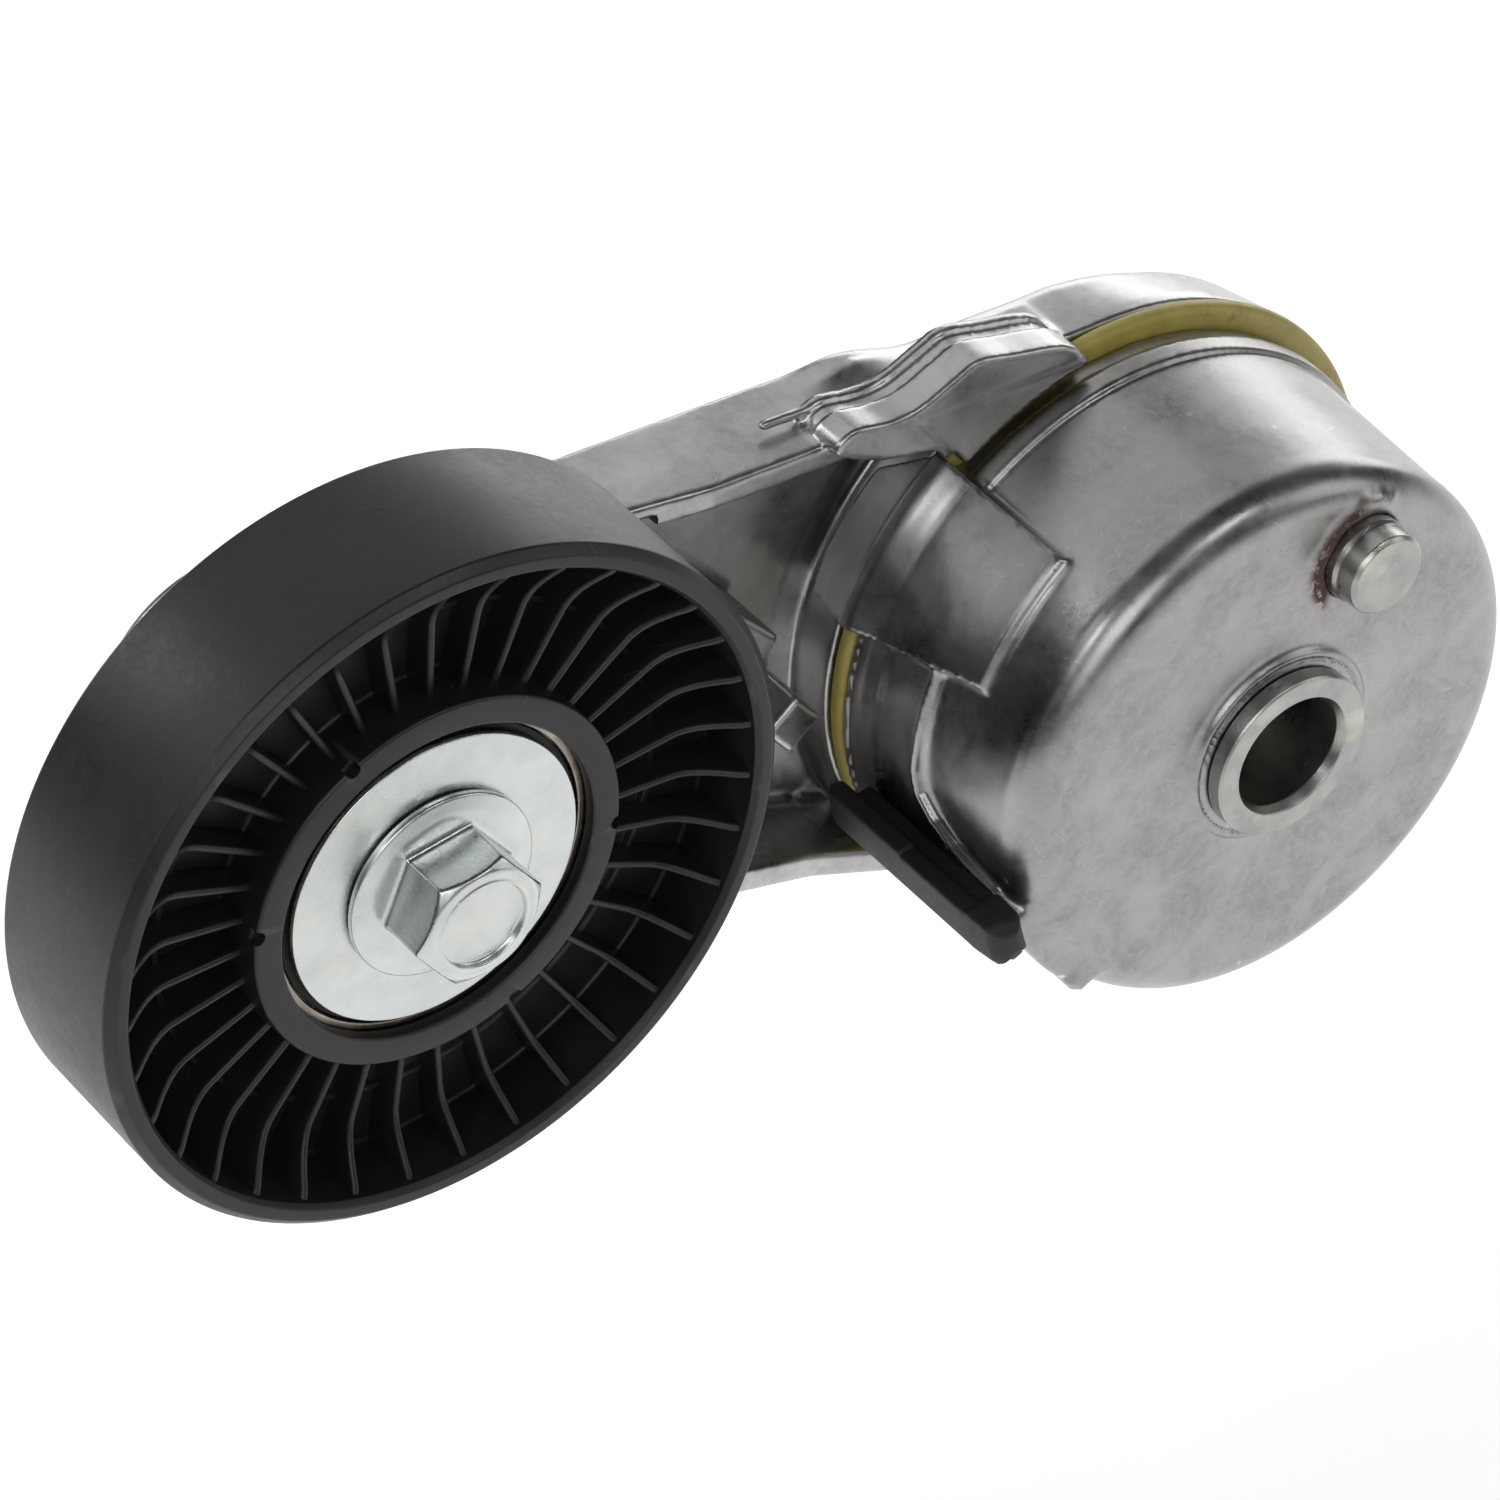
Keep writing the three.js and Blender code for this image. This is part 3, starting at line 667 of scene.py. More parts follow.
def case_field(x, y, z):
    r = np.hypot(x, z)
    toward = rotated(x, z, SQUEEZE.at)[0] / np.maximum(r, 1)
    facing, away = np.maximum(toward, 0) ** 2, np.maximum(-toward, 0) ** 2
    fade = np.clip((y - SQUEEZE.start) / SQUEEZE.over, 0, 1)
    squeeze = facing * (SQUEEZE.front * (1 - fade) + SQUEEZE.back * fade)
    squeeze = squeeze + SQUEEZE.far * away ** 2
    wall = r - WALL.radius - WALL.taper * y + squeeze
    body = shared(slab(wall, y, 0, 60, WALL.fillet), y - CASE_DEPTH)
    body = union(body, slab(r - BAND.radius + squeeze, y, BAND.front, BAND.back, 0.45), 0.4)
    body = union(body, land_field(x, y, z, r), 1.0)
    body = union(body, slab(r - COLLAR.radius, y, -COLLAR.height, 5, 0.3), 1.5)
    body = without(body, np.hypot(r - COLLAR.groove, y + COLLAR.height) - 0.2, 0.1)
    body = union(body, tab_field(x, y, z, r), 1.5)
    nub = polygon(NUB, *rotated(x, z, NUB_ANGLE))
    body = union(body, slab(nub, y, 0.6, 6, 0.5), 1.0)
    hollow = slab(r - WALL.inside, y, FLOOR.thick, 60, FLOOR.corner)
    hollow = without(hollow, slab(r - FLOOR.boss, y, -5, FLOOR.boss_top, 0.5), 1.0)
    body = without(body, hollow)
    body = union(body, pin_surround(x, y, z), 1.0)
    out = np.hypot(x - PIN.x, z - PIN.z)
    body = without(body, shared(out - PIN.radius - GAP, y - 9), 0.1)
    return without(body, r - TUBE_HOLE, 0.1)


# ---- The arm ----

WEB = Sizes(front=39.6, panel=1.1)
# The channel's flanges. Beyond some x the upper one begins farther back, and the lower one farther forward.
FLANGE = Sizes(thick=3.0, thin=1.7, land_from=-60.5)
UPPER = Sizes(front=30.5, beyond=-54, slope=0.12, most=1.6)
LOWER = Sizes(front=28.5, beyond=-42, over=14, most=2.4)
LUG = Sizes(front=28.5, start=97.0, to=125.4, back=36.4)
HUB = Sizes(radius=36.8, lower=34.0, barrel=15.0, barrel_front=9.0, bore=11.1, round=3.4)
EDGE = Sizes(round=0.9, start=-40, over=25)  # the back edge: sharper along the arm than on the hub
# The arm's edges run to a smaller circle above and a larger one below, and ease back to the boss.
BOSS = Sizes(radius=15.0, seat=11.5, above=11.6, below=21.5, bore=5.1)
TAPER = Sizes(by=1.3, over_x=12, from_y=35, over_y=8)  # to the back, on the hub's far side
WAVES = [(-29, 5, 1.0), (-19.5, 4, -0.7)]  # x, width and height of the top edge's swell and dip
TAB_SWEEP = (LUG.to, 158.3 + 47)  # degrees: where the tab passes as the arm turns
PAD = [(-39, 39.8), (-37, 42), (-32, 41), (-28, 41.1), (-23.3, 42.9), (-20.2, 43.9), (-15.5, 42.7),
       (-7, 39.8), (-6.6, 34), (-22, 31), (-26, 34.4), (-32.8, 36.2)]  # x, z
RIB_EDGE = [(-46.3, 18), (-48.6, 14.6), (-92, 26), (-92, 42), (-60, 33)]  # x, z
BLOCK = Sizes(x=-44.4, z=4.6, half=2.7, turn=math.radians(38))


def sector(x, z, start, end):
    """Distance to the wedge between two angles in degrees."""
    r, angle = np.hypot(x, z), np.arctan2(z, x)
    return np.maximum(r * np.sin(math.radians(start) - angle), r * np.sin(angle - math.radians(end)))


def curved(corners, steps=5):
    """A closed smooth curve through the corners, as many short sides."""
    points, count = np.array(corners, float), len(corners)
    curve = []
    for i in range(count):
        a, b, c, d = (points[(i + k) % count] for k in (-1, 0, 1, 2))
        for t in (step / steps for step in range(steps)):
            curve.append(tuple(0.5 * (2 * b + (c - a) * t + (2 * a - 5 * b + 4 * c - d) * t ** 2
                                      + (3 * b - a - 3 * c + d) * t ** 3)))
    return curve


def pad_field(x, y, z):
    """The raised stop pad: a front land, a hollow behind it and a low crest along its back."""
    outline = polygon(curved(PAD), x, z)
    pad = slab(outline, y, LUG.front, LUG.back, 0.35)
    return without(pad, shared(np.abs(y - 34.0) - 1.0, -(outline + 0.7)), 0.5)


def crest_field(x, y, z):
    """The low crest that runs from the pad along the flange's top."""
    top = 36.6 + (4 - x) * 0.1084
    line = np.hypot(y - 35.6 - 0.02 * (x + 38), z - top + 0.1) - 0.55
    return shared(line, np.abs(x + 40) - 4.5, 1.0)


def arm_outline(x, y, z, along, across):
    """The hull of hub and boss, fuller below the middle line, with a swell and a dip in its top edge."""
    above = two_circle_hull(x, z, HUB.radius, BOSS.above)
    above = above - (BOSS.radius - BOSS.above) * eased(along, 92, 108)
    below = two_circle_hull(x, z, HUB.lower, BOSS.below)
    below = below + (BOSS.below - BOSS.radius) * eased(along, 72, 108)
    share = eased(across, 0, 12)
    outline = above * (1 - share) + below * share
    wave = sum(height * np.exp(-((x - middle) / width) ** 2) for middle, width, height in WAVES)
    return outline - wave * np.clip((y - 37) / 3, 0, 1) * (z > 20)


def flange_front(x, across):
    """Where the channel's flanges begin, along Y."""
    upper = UPPER.front + np.clip((UPPER.beyond - x) * UPPER.slope, 0, UPPER.most)
    lower = LOWER.front - LOWER.most * np.clip((LOWER.beyond - x) / LOWER.over, 0, 1)
    return np.where(across > 0, lower, upper)


def arm_field(x, y, z):
    r = np.hypot(x, z)
    along, across = rotated(x, z, ARM_ANGLE)  # across is negative above the arm's middle line
    taper = TAPER.by * np.clip(x / TAPER.over_x, 0, 1)
    taper = taper * np.clip((y - TAPER.from_y) / TAPER.over_y, 0, 1)
    outline = arm_outline(x, y, z, along, across) + taper
    on_hub = np.clip((x - EDGE.start) / EDGE.over, 0, 1)
    fillet = EDGE.round + (HUB.round - EDGE.round) * on_hub
    body = shared(slab(outline, y, 0, ARM.back, fillet), flange_front(x, across) - y, 0.7)
    thick = np.where((x > FLANGE.land_from) | (across > 0), FLANGE.thick, FLANGE.thin)
    pocket = slab(outline + thick, y, -20, WEB.front, 1.6)
    body = without(body, pocket, 0.5)
    lug = shared(shared(outline, sector(x, z, LUG.start, LUG.to), 0.6), LUG.front - y, 0.6)
    body = union(body, shared(lug, y - WEB.front - 1), 0.6)
    body = union(body, slab(polygon(RIB_EDGE, x, z), y, LUG.front + 0.4, WEB.front + 2, 0.7), 1.4)
    u, v = rotated(x - BLOCK.x, z - BLOCK.z, BLOCK.turn)
    block = np.maximum(np.abs(u), np.abs(v)) - BLOCK.half
    body = union(body, slab(block, y, LUG.front + 0.3, WEB.front + 2, 0.6), 1.2)
    body = union(body, pad_field(x, y, z), 1.1)
    body = union(body, crest_field(x, y, z), 0.5)
    body = without(body, shared(r - HUB.radius - 0.7, y - RING.back - GAP), 0.3)
    sweep = shared(shared(HUB.radius + 0.2 - r, r - TAB.outer - 0.6), sector(x, z, *TAB_SWEEP))
    body = without(body, shared(sweep, y - WEB.front, 0.4), 0.4)
    hub = slab(r - HUB.radius + taper, y, 0, ARM.back, fillet)
    hub = shared(hub, RING.back + GAP - y, 0.4)
    body = union(body, hub, 0.8)
    body = union(body, slab(r - HUB.barrel, y, HUB.barrel_front, 40, 0.5), 1.5)
    out = np.hypot(x - AXIS[0], z - AXIS[1])
    boss = slab(out - BOSS.radius + 1, y, WHEEL.back + 2.2, 42, 0.8)
    seat = slab(out - BOSS.seat, y, REAR_SHIELD.back + GAP, 30, 0.4)
    body = union(body, union(boss, seat, 0.8), 1.8)
    body = without(body, rear_panels(y, r, outline, out), 0.8)
    body = without(body, out - BOSS.bore - np.clip(y - 43, 0, 1), 0.1)  # opens out at the back
    return without(body, r - HUB.bore, 0.1)


def rear_panels(y, r, outline, out):
    """Shallow hollows in the back: one ring round the hub, and one panel along the arm."""
    ring = np.maximum(23.5 - r, r - 31.5)
    panel = np.maximum(np.maximum(outline + 5, 38.5 - r), 16.5 - out)
    return shared(union(ring, panel), ARM.back - WEB.panel - y, 0.3)


# ---- The bumper beside the case ----

# Here inner and outer are radii, and top and low are degrees round the pivot.
STRIP = Sizes(inner=38.9, outer=41.2, top=187.4, low=196.0, front=-1.3, back=28.1)
FOOT = Sizes(inner=36.5, outer=38.1, top=190, low=202, front=0.6, back=26.4)
NOSE = Sizes(top=188.0, low=197.0, outer=40.9, back=3.6, ahead=0.7)
LEAN = Sizes(before=3.5, over=6, slope=0.11)  # the strip's front end leans down and in
NOTCH = Sizes(y=8.5, half=6, slope=3, depth=0.4)  # a shallow step along the strip's top


def bumper_field(x, y, z):
    """A strip that stands off the case wall on a lower foot, closed by a rounded nose at its front."""
    r = np.hypot(x, z)
    bent = np.clip(LEAN.before - y, 0, LEAN.over) * LEAN.slope
    middle, half = (STRIP.inner + STRIP.outer) / 2, (STRIP.outer - STRIP.inner) / 2
    ring = np.abs(r + bent * 0.8 - middle) - half
    per_mm = math.degrees(1) / STRIP.outer  # degrees in a millimetre along the strip's outside
    notch = (NOTCH.half - np.abs(y - NOTCH.y)) * NOTCH.slope
    top = STRIP.top + bent * per_mm * 1.3 + np.clip(notch, 0, NOTCH.depth) * per_mm
    angle = degrees_round(x, z)
    wedge = np.maximum(top - angle, angle - STRIP.low) / per_mm
    strip = slab(shared(ring, wedge, 0.7), y, STRIP.front, STRIP.back, 0.9)
    across = np.where(angle < STRIP.low, STRIP.inner + 0.5, FOOT.outer)
    foot = np.maximum(np.maximum(FOOT.inner - r, r - across), sector(x, z, FOOT.top, FOOT.low))
    body = union(strip, slab(foot, y, FOOT.front, FOOT.back, 0.5), 0.8)
    wedge = np.maximum(NOSE.top + bent * per_mm * 1.5 - angle, angle - NOSE.low) / per_mm
    nose = np.maximum(np.maximum(FOOT.inner - r, r - NOSE.outer + bent), wedge)
    return union(body, slab(nose, y, STRIP.front - NOSE.ahead, NOSE.back, 1.5), 0.8)


# ---- The pulley bolt ----

HEX = Sizes(flats=13.2, turn=math.radians(6.3), base=1.8, round=7.1)
DISH = Sizes(radius=5.15, depth=0.5, lip=0.2)
CONE = Sizes(radius=8.9, slope=(0.30, 0.954))  # the flange's sloping front
SHANK = Sizes(radius=4.8, front=2, end=42)


def bolt_field(x, y, z):
    x, z = x - AXIS[0], z - AXIS[1]
    r = np.hypot(x, z)
    sides = [HEX.turn + math.radians(30 + 60 * i) for i in range(3)]
    hexagon = np.maximum.reduce([np.abs(x * math.cos(a) + z * math.sin(a)) for a in sides])
    head = slab(hexagon - HEX.flats / 2, y, BOLT.front, 3, 0.18)
    head = shared(head, (r - HEX.round + 0.75) * 0.57 - (y - BOLT.front) * 0.82, 0.2)
    flange = slab(r - BOLT.radius, y, HEX.base, FRONT_SHIELD.front - GAP, 0.28)
    cone = (r - CONE.radius) * CONE.slope[0] + (HEX.base - y) * CONE.slope[1]
    head = union(head, shared(flange, cone, 0.2), 0.7)
    head = union(head, np.hypot(r - DISH.radius, y - BOLT.front - 0.05) - DISH.lip, 0.2)
    dish = slab(r - DISH.radius + 0.15, y, BOLT.front - 3, BOLT.front + DISH.depth, 0.4)
    head = without(head, dish, 0.15)
    return union(head, slab(r - SHANK.radius, y, SHANK.front, SHANK.end, 0.6), 0.3)


def castings():
    case_low, case_high = (-41, -2.6, -38.5), (38.5, 38.5, 38.5)
    mesh = field_mesh("spring_case_body", case_field, case_low, case_high, 0.42)
    piece("case_casting", mesh, "base", "cast_aluminium", "spring_case", "case")
    arm_low, arm_high = (-125, 8, -39), (39, 46, 52)
    mesh = field_mesh("arm_body", arm_field, arm_low, arm_high, 0.48)
    piece("arm_casting", mesh, "arm", "cast_aluminium", "tensioner_arm", "arm")
    mesh = field_mesh("bumper_body", bumper_field, (-43, -3, -19), (-31, 30, 0), 0.22)
    piece("bumper_strip", mesh, "base", "black_plastic", "stop_bumper")
    x, z, reach = *AXIS, BOLT.radius + 1
    low, high = (x - reach, BOLT.front - 1, z - reach), (x + reach, BOLT.back + 1, z + reach)
    mesh = field_mesh("bolt_body", bolt_field, low, high, 0.2)
    piece("flange_bolt", mesh, "arm", "zinc_steel", "pulley_bolt")


# ---- The pulley wheel ----

RIM = Sizes(inner=37.6, bevel=1.0, hub=22.2, lip=18.75, web_front=9.2, web_back=12.0)
HUB_INSET = 2.3  # the hub ring lies this far behind the rim's face
RIBS = Sizes(count=35, first=math.radians(4), thick=0.9, low=4.9, high=1.0, flat_to=30.5)
NOTCHES = Sizes(at=(116, 170, 293, 352), radius=0.85, depth=3.4, inset=0.4)  # round the hub ring
AXIS_RADIUS = 0.01  # a profile that should end on its axis ends this near it


def wheel_section():
    front, back, r = WHEEL.front, WHEEL.back, WHEEL.radius
    hub_front, hub_back = front + HUB_INSET, back - HUB_INSET
    bore, lip, hub, inner = BEARING.radius + GAP, RIM.lip, RIM.hub, RIM.inner
    web, web_back, bevel = RIM.web_front, RIM.web_back, RIM.bevel
    return [
        (bore, BEARING.front - GAP), (lip, BEARING.front - GAP), (lip, hub_front, 0.3),
        (hub - 0.2, hub_front, 0.45), (hub, web, 0.6),
        (29.2, web, 0.3), (29.6, web - 0.7, 0.3), (30.2, web - 0.7, 0.3), (30.6, web, 0.3),
        (inner - 0.2, web, 0.6), (inner, front + 0.7, 0.3), (inner + 0.5, front, 0.3),
        (r - bevel, front, 0.5), (r, front + bevel, 0.5), (r, back - bevel, 0.5), (r - bevel, back, 0.5),
        (inner + 0.5, back, 0.3), (inner, back - 0.7, 0.3), (inner - 0.2, web_back, 0.6),
        (hub, web_back, 0.6), (hub - 0.2, hub_back, 0.45), (lip, hub_back, 0.3),
        (lip, BEARING.back + GAP), (bore, BEARING.back + GAP),
    ]


def rib_shape(angle):
    """A radial plate whose free edges lie low by the hub and sweep up to the rim, with rounded edges."""
    c, s = math.cos(angle), math.sin(angle)
    half = RIBS.thick / 2
    arc = [math.pi * i / 8 for i in range(9)]
    rings = []
    for step in range(15):
        r = RIM.hub - 0.5 + (RIM.inner - RIM.hub + 0.9) * step / 14
        t = max(0.0, (r - RIBS.flat_to) / (RIM.inner - RIBS.flat_to))
        low = RIBS.low - (RIBS.low - RIBS.high) * min(1.0, t * t * (1.6 - 0.6 * t))
        front, back = WHEEL.front + low + half, WHEEL.back - low - half
        loop = [(half * math.cos(a), front - half * math.sin(a)) for a in arc]
        loop += [(-half * math.cos(a), back + half * math.sin(a)) for a in arc]
        rings.append([(AXIS[0] + r * c - w * s, y, AXIS[1] + r * s + w * c) for w, y in loop])
    return grid_shape(rings)


def on_pulley(radius, angle):
    """A place round the pulley's axis."""
    return (AXIS[0] + radius * math.cos(angle), AXIS[1] + radius * math.sin(angle))


def boolean(mesh, cutter, operation):
    """A mesh joined with or cut by another."""
    holder, tool = placed("holder", mesh), placed("tool", cutter)
    change = holder.modifiers.new("boolean", "BOOLEAN")
    change.object, change.operation, change.solver = tool, operation, "EXACT"
    graph = bpy.context.evaluated_depsgraph_get()
    made = bpy.data.meshes.new_from_object(holder.evaluated_get(graph))
    for item in (holder, tool):
        bpy.data.objects.remove(item)
    made.shade_smooth()
    made.set_sharp_from_angle(angle=SHARP_ANGLE)
    return made


def pulley_wheel():
    wheel = turned("wheel_section", wheel_section(), AXIS, 240)
    gap = 2 * math.pi / RIBS.count
    ribs = joined([rib_shape(RIBS.first + gap * i) for i in range(RIBS.count)])
    wheel = boolean(wheel, mesh_of("ribs", *ribs), "UNION")
    notches = []
    r, end = RIM.hub - NOTCHES.inset, WHEEL.front + NOTCHES.depth
    for angle in map(math.radians, NOTCHES.at):
        centre = on_pulley(r, angle)
        profile = [(AXIS_RADIUS, WHEEL.front), (NOTCHES.radius, WHEEL.front),
                   (NOTCHES.radius, end), (AXIS_RADIUS, end)]
        notches.append(turned_shape(profile, centre, 20))
    wheel = boolean(wheel, mesh_of("notches", *joined(notches)), "DIFFERENCE")
    piece("pulley_body", wheel, "pulley", "black_nylon", "pulley_wheel")


# ---- Bearing and small turned pieces ----

RING_FIT = Sizes(wider=0.2, width=4.1, centre=(0.39, 0.23))  # the wear ring is a little off centre
BALLS = Sizes(count=8, pitch=14.25, radius=3.37, clear=0.14)
BORE = 8.5  # of the bearing's inner ring
LAND_IN, LAND_OUT = 12.1, 16.4  # shoulder radii of the inner and outer rings
SEAL_WIDTH, SEAL_SEAT = 1.3, 17.95
BOLT_HOLE = 5.2  # through the shields and the spacer


def race(side, front, back):
    """Points round a ball groove, from front to back."""
    middle, reach = (front + back) / 2, BALLS.radius + BALLS.clear
    shoulder = LAND_OUT if side > 0 else LAND_IN
    start = math.asin(min(1.0, math.sqrt(reach ** 2 - (shoulder - BALLS.pitch) ** 2) / reach))
    return [
        (BALLS.pitch + side * reach * math.cos(a), middle + reach * math.sin(a))
        for a in (start * (i / 8 - 1) for i in range(17))
    ]


def bearing():
    front, back = BEARING.front, BEARING.back
    inner = [(BORE, back, 0.5), (BORE, front, 0.5), (LAND_IN, front, 0.2)]
    inner += race(-1, front, back) + [(LAND_IN, back, 0.2)]
    turned_piece("inner_ring", inner, "arm", "bearing_steel", "bearing_inner_ring", AXIS)
    outer = [(BEARING.radius, front, 0.6), (BEARING.radius, back, 0.6), (SEAL_SEAT, back, 0.2),
             (SEAL_SEAT, back - SEAL_WIDTH), (LAND_OUT, back - SEAL_WIDTH)]
    outer += race(1, front, back)[::-1]
    outer += [(LAND_OUT, front + SEAL_WIDTH), (SEAL_SEAT, front + SEAL_WIDTH), (SEAL_SEAT, front, 0.2)]
    turned_piece("outer_ring", outer, "pulley", "bearing_steel", "bearing_outer_ring", AXIS, STEPS)
    balls((front + back) / 2)


def balls(middle):
    near_axis, radius = 0.004, BALLS.radius
    arc = [math.pi * step / 24 for step in range(25)]
    half = [(max(near_axis, radius * math.sin(a)), middle - radius * math.cos(a)) for a in arc]
    for i in range(BALLS.count):
        angle = 2 * math.pi * i / BALLS.count
        centre = on_pulley(BALLS.pitch, angle)
        turned_piece(f"ball_{i + 1}", half, "ball_set", "bearing_steel", f"bearing_ball_{i + 1}", centre, 48)


def seals_and_shields():
    for name, extent in (("front", FRONT_SEAL), ("rear", REAR_SEAL)):
        low, high = extent.front, extent.back
        lip, seat, groove = LAND_IN + 0.3, SEAL_SEAT - 0.1, low + 0.25
        profile = [(lip, low, 0.2), (13.4, low, 0.3), (14.0, groove, 0.3), (15.6, groove, 0.3),
                   (16.2, low, 0.2), (seat, low, 0.2), (seat, high, 0.2), (lip, high, 0.2)]
        turned_piece(f"{name}_lip_seal", profile, "pulley", "seal_rubber", f"{name}_seal", AXIS)
    s = FRONT_SHIELD
    profile = [(BOLT_HOLE, s.front), (s.radius, s.front, 0.18), (s.radius, s.back, 0.15), (BOLT_HOLE, s.back)]
    turned_piece("front_shield", profile, "arm", "zinc_steel", "front_dust_shield", AXIS, STEPS)
    s = REAR_SHIELD
    profile = [(BOLT_HOLE, s.front), (s.radius, s.front, 0.2), (s.radius, s.back - 0.3, 0.3),
               (s.radius - 0.5, s.back, 0.3), (BOLT_HOLE, s.back)]
    turned_piece("rear_shield", profile, "arm", "zinc_steel", "rear_dust_shield", AXIS, STEPS)
    s = SPACER
    profile = [(BOLT_HOLE, s.front, 0.2), (s.radius, s.front, 0.3), (s.radius, s.back, 0.3),
               (BOLT_HOLE, s.back, 0.2)]
    turned_piece("spacer_sleeve", profile, "arm", "zinc_steel", "bearing_spacer", AXIS)


def pivot_tube():
    bore, neck, spigot, flare = 7.0, 9.0, 10.3, TUBE.radius
    nose, step, seat, back = TUBE.front, -COLLAR.height - 0.25, TUBE.back - 1.6, TUBE.back
    profile = [
        (bore, nose + 1.1, 0.6), (bore + 0.6, nose, 0.3), (spigot - 0.25, nose, 0.15),
        (spigot, nose + 0.25, 0.15), (spigot, step, 0.15), (neck, step),
        (neck, seat, 0.6), (flare, seat, 0.3), (flare, back - 0.5, 0.4), (flare - 0.7, back, 0.4),
        (bore + 1.1, back, 0.25), (bore, back - 1.3, 0.3),
    ]
    turned_piece("tube", profile, "base", "plain_steel", "pivot_tube")


def dowel_pin():
    r = PIN.radius
    profile = [(r - 0.5, PIN.front, 0.2), (r - 0.05, PIN.front + 0.45, 0.25), (r - 0.05, -1.7, 0.5),
               (r + 0.25, -1.2, 0.3), (r + 0.25, 0.4, 0.1), (r, 0.8, 0.2), (r, PIN.back, 0.4)]
    mesh = solid_disc("pin_turned", [(0.8, PIN.front + 0.06)] + profile, (PIN.x, PIN.z), 96)
    piece("dowel_pin", mesh, "base", "plain_steel", "locating_pin")


def ring_and_washer():
    r, s = RING.radius + RING_FIT.wider, RING
    inside = r - RING_FIT.width
    profile = [(inside, s.front, 0.3), (r, s.front, 0.95), (r, s.back, 0.95), (inside, s.back, 0.3)]
    turned_piece("ring_bearing", profile, "arm", "yellow_nylon", "wear_ring", RING_FIT.centre, STEPS)
    bore, s = 9.4, WASHER
    profile = [(bore, s.front, 0.2), (s.radius, s.front, 0.2), (s.radius, s.back, 0.45), (bore, s.back, 0.2)]
    turned_piece("back_washer", profile, "base", "zinc_steel", "retaining_washer")


SPRING = Sizes(radius=24.5, wire=2.25, turns=3.5, steps=280, sides=20)


def torsion_spring():
    """The coil inside the case. Its front end is held by the case and its back end by the arm."""
    start, end = COIL.front + SPRING.wire, COIL.back - SPRING.wire
    loops = []
    for i in range(SPRING.steps + 1):
        t = i / SPRING.steps
        angle = 2 * math.pi * SPRING.turns * t
        out = Vector((math.cos(angle), 0, math.sin(angle)))
        middle = out * SPRING.radius + Vector((0, start + (end - start) * t, 0))
        squeeze = min(1.0, 0.55 + 40 * min(t, 1 - t))  # the ground ends taper off
        loops.append([
            tuple(middle + (out * math.cos(b) + Vector((0, 1, 0)) * math.sin(b)) * SPRING.wire * squeeze)
            for b in (2 * math.pi * j / SPRING.sides for j in range(SPRING.sides))
        ])
    mesh = mesh_of("spring_coil", *grid_shape(loops))
    coil = placed("spring_coil", mesh)
    mesh.materials.append(MATERIAL["spring_steel"])
    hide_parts("torsion_spring")
    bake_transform(coil)


KEPT = {"spring_seat": "black_plastic", "thrust_washer": "yellow_nylon", "pivot_bushing": "yellow_nylon",
        "damping_shoe": "black_plastic", "ball_cage": "yellow_nylon"}


def kept_nodes():
    """The inner CAD nodes whose shape is right keep it, and take a finish."""
    for node, slot in KEPT.items():
        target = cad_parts[node]
        target.data.materials.clear()
        target.data.materials.append(MATERIAL[slot])


# ---- Floor, light and camera ----

def floor():
    """A pale floor that glows a little, so that it stays white behind the piece."""
    size, drop = 3.0, 0.030
    corners = [(x * size, y * size, CAD_LOW.z - drop) for x, y in ((-1, -1), (1, -1), (1, 1), (-1, 1))]
    mesh = bpy.data.meshes.new("floor")
    mesh.from_pydata(corners, [], [(0, 1, 2, 3)])
    ground = placed("floor", mesh)
    s = Shader("floor")
    s.surface.inputs["Emission Color"].default_value = (1, 1, 1, 1)
    forward = s.vector("DOT_PRODUCT", s.place, (0.45, 0.89, 0))
    nearer = s.band(forward, -0.18, 0.0, 0.34, 0.66)  # the pool of light fades towards the front
    far = s.vector("LENGTH", s.place)
    glow = s.times(nearer, s.band(far, 0.45, 1.1, 1, 0.1))
    s.set(s.surface.inputs["Emission Strength"], glow)
    mesh.materials.append(s.finish((0.85, 0.85, 0.85, 1), 0.9))


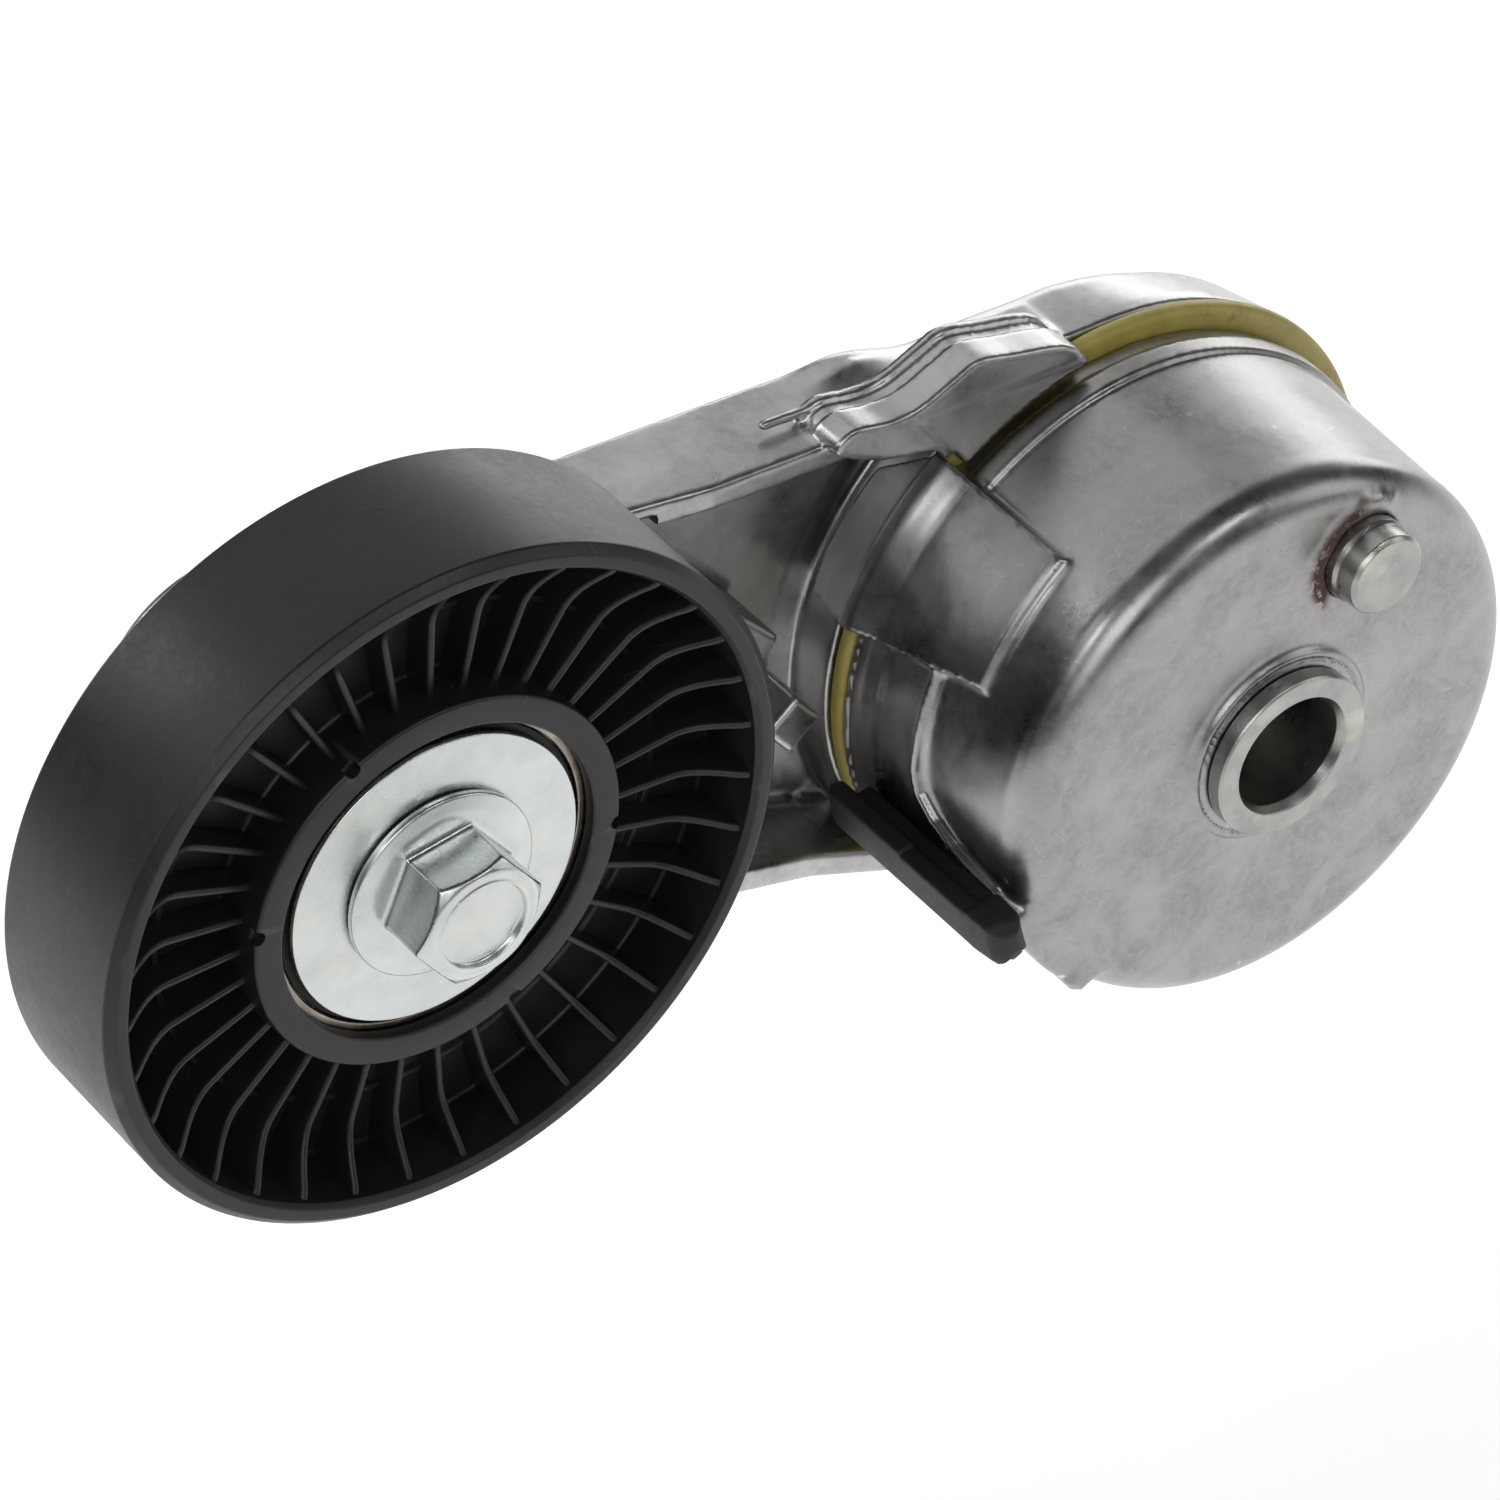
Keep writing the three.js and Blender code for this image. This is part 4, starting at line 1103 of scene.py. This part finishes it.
CENTRE = (CAD_LOW + CAD_HIGH) / 2
LIGHTS = [  # name, direction from the piece, distance, width, height, watts
    ("key", (-0.40, -0.78, 0.50), 1.0, 0.60, 0.50, 2.1),
    ("back_wall", (0.80, 0.60, 0.16), 1.1, 1.00, 0.42, 3.4),
    ("ridge_strip", (-0.50, 0.74, 0.44), 1.0, 0.12, 0.34, 1.3),
    ("back_left", (-0.84, 0.20, 0.50), 1.0, 0.26, 0.70, 0.95),
    ("glint", (-0.73, -0.20, 0.65), 1.0, 0.16, 0.16, 0.8),
    ("overhead", (-0.02, 0.62, 0.76), 1.1, 1.20, 0.60, 1.75),
    ("arm_top", (0.62, 0.58, 0.53), 1.1, 0.50, 0.30, 0.27),
    ("top_front", (0.29, -0.61, 0.735), 1.0, 0.34, 0.20, 0.8),
    ("right_fill", (0.85, -0.60, 0.35), 1.2, 0.50, 0.60, 1.2),
]


def lights():
    for name, way, distance, width, height, watts in LIGHTS:
        data = bpy.data.lights.new(name, "AREA")
        data.shape, data.size, data.size_y, data.energy = "RECTANGLE", width, height, watts
        lamp = placed(name, data)
        lamp.location = CENTRE + Vector(way).normalized() * distance
        lamp.rotation_euler = (lamp.location - CENTRE).to_track_quat("Z", "Y").to_euler()
        lamp.visible_camera = False
    world = bpy.data.worlds.new("studio")
    world.use_nodes = True
    world.node_tree.nodes["Background"].inputs["Color"].default_value = (0.075, 0.075, 0.077, 1)
    bpy.context.scene.world = world


CAMERA = Sizes(azimuth=-35.97, elevation=40.74, distance=0.7132, lens=164.2, sensor=36)
AIM_OFFSET = Vector((-0.0086, -0.0114, 0.0057))  # from the CAD box's centre to the picture's centre


def camera():
    azimuth, elevation = math.radians(CAMERA.azimuth), math.radians(CAMERA.elevation)
    toward = Vector((-math.sin(azimuth) * math.cos(elevation), math.cos(azimuth) * math.cos(elevation),
                     -math.sin(elevation)))
    data = bpy.data.cameras.new("camera")
    data.lens, data.sensor_width = CAMERA.lens, CAMERA.sensor
    data.clip_start, data.clip_end = 0.01, 20
    eye = placed("camera", data)
    eye.location = CENTRE + AIM_OFFSET - toward * CAMERA.distance
    eye.rotation_euler = toward.to_track_quat("-Z", "Y").to_euler()
    bpy.context.scene.camera = eye
    bpy.context.scene.view_settings.view_transform = "Standard"


camera()
castings()
pulley_wheel()
bearing()
seals_and_shields()
pivot_tube()
dowel_pin()
ring_and_washer()
torsion_spring()
kept_nodes()
floor()
lights()
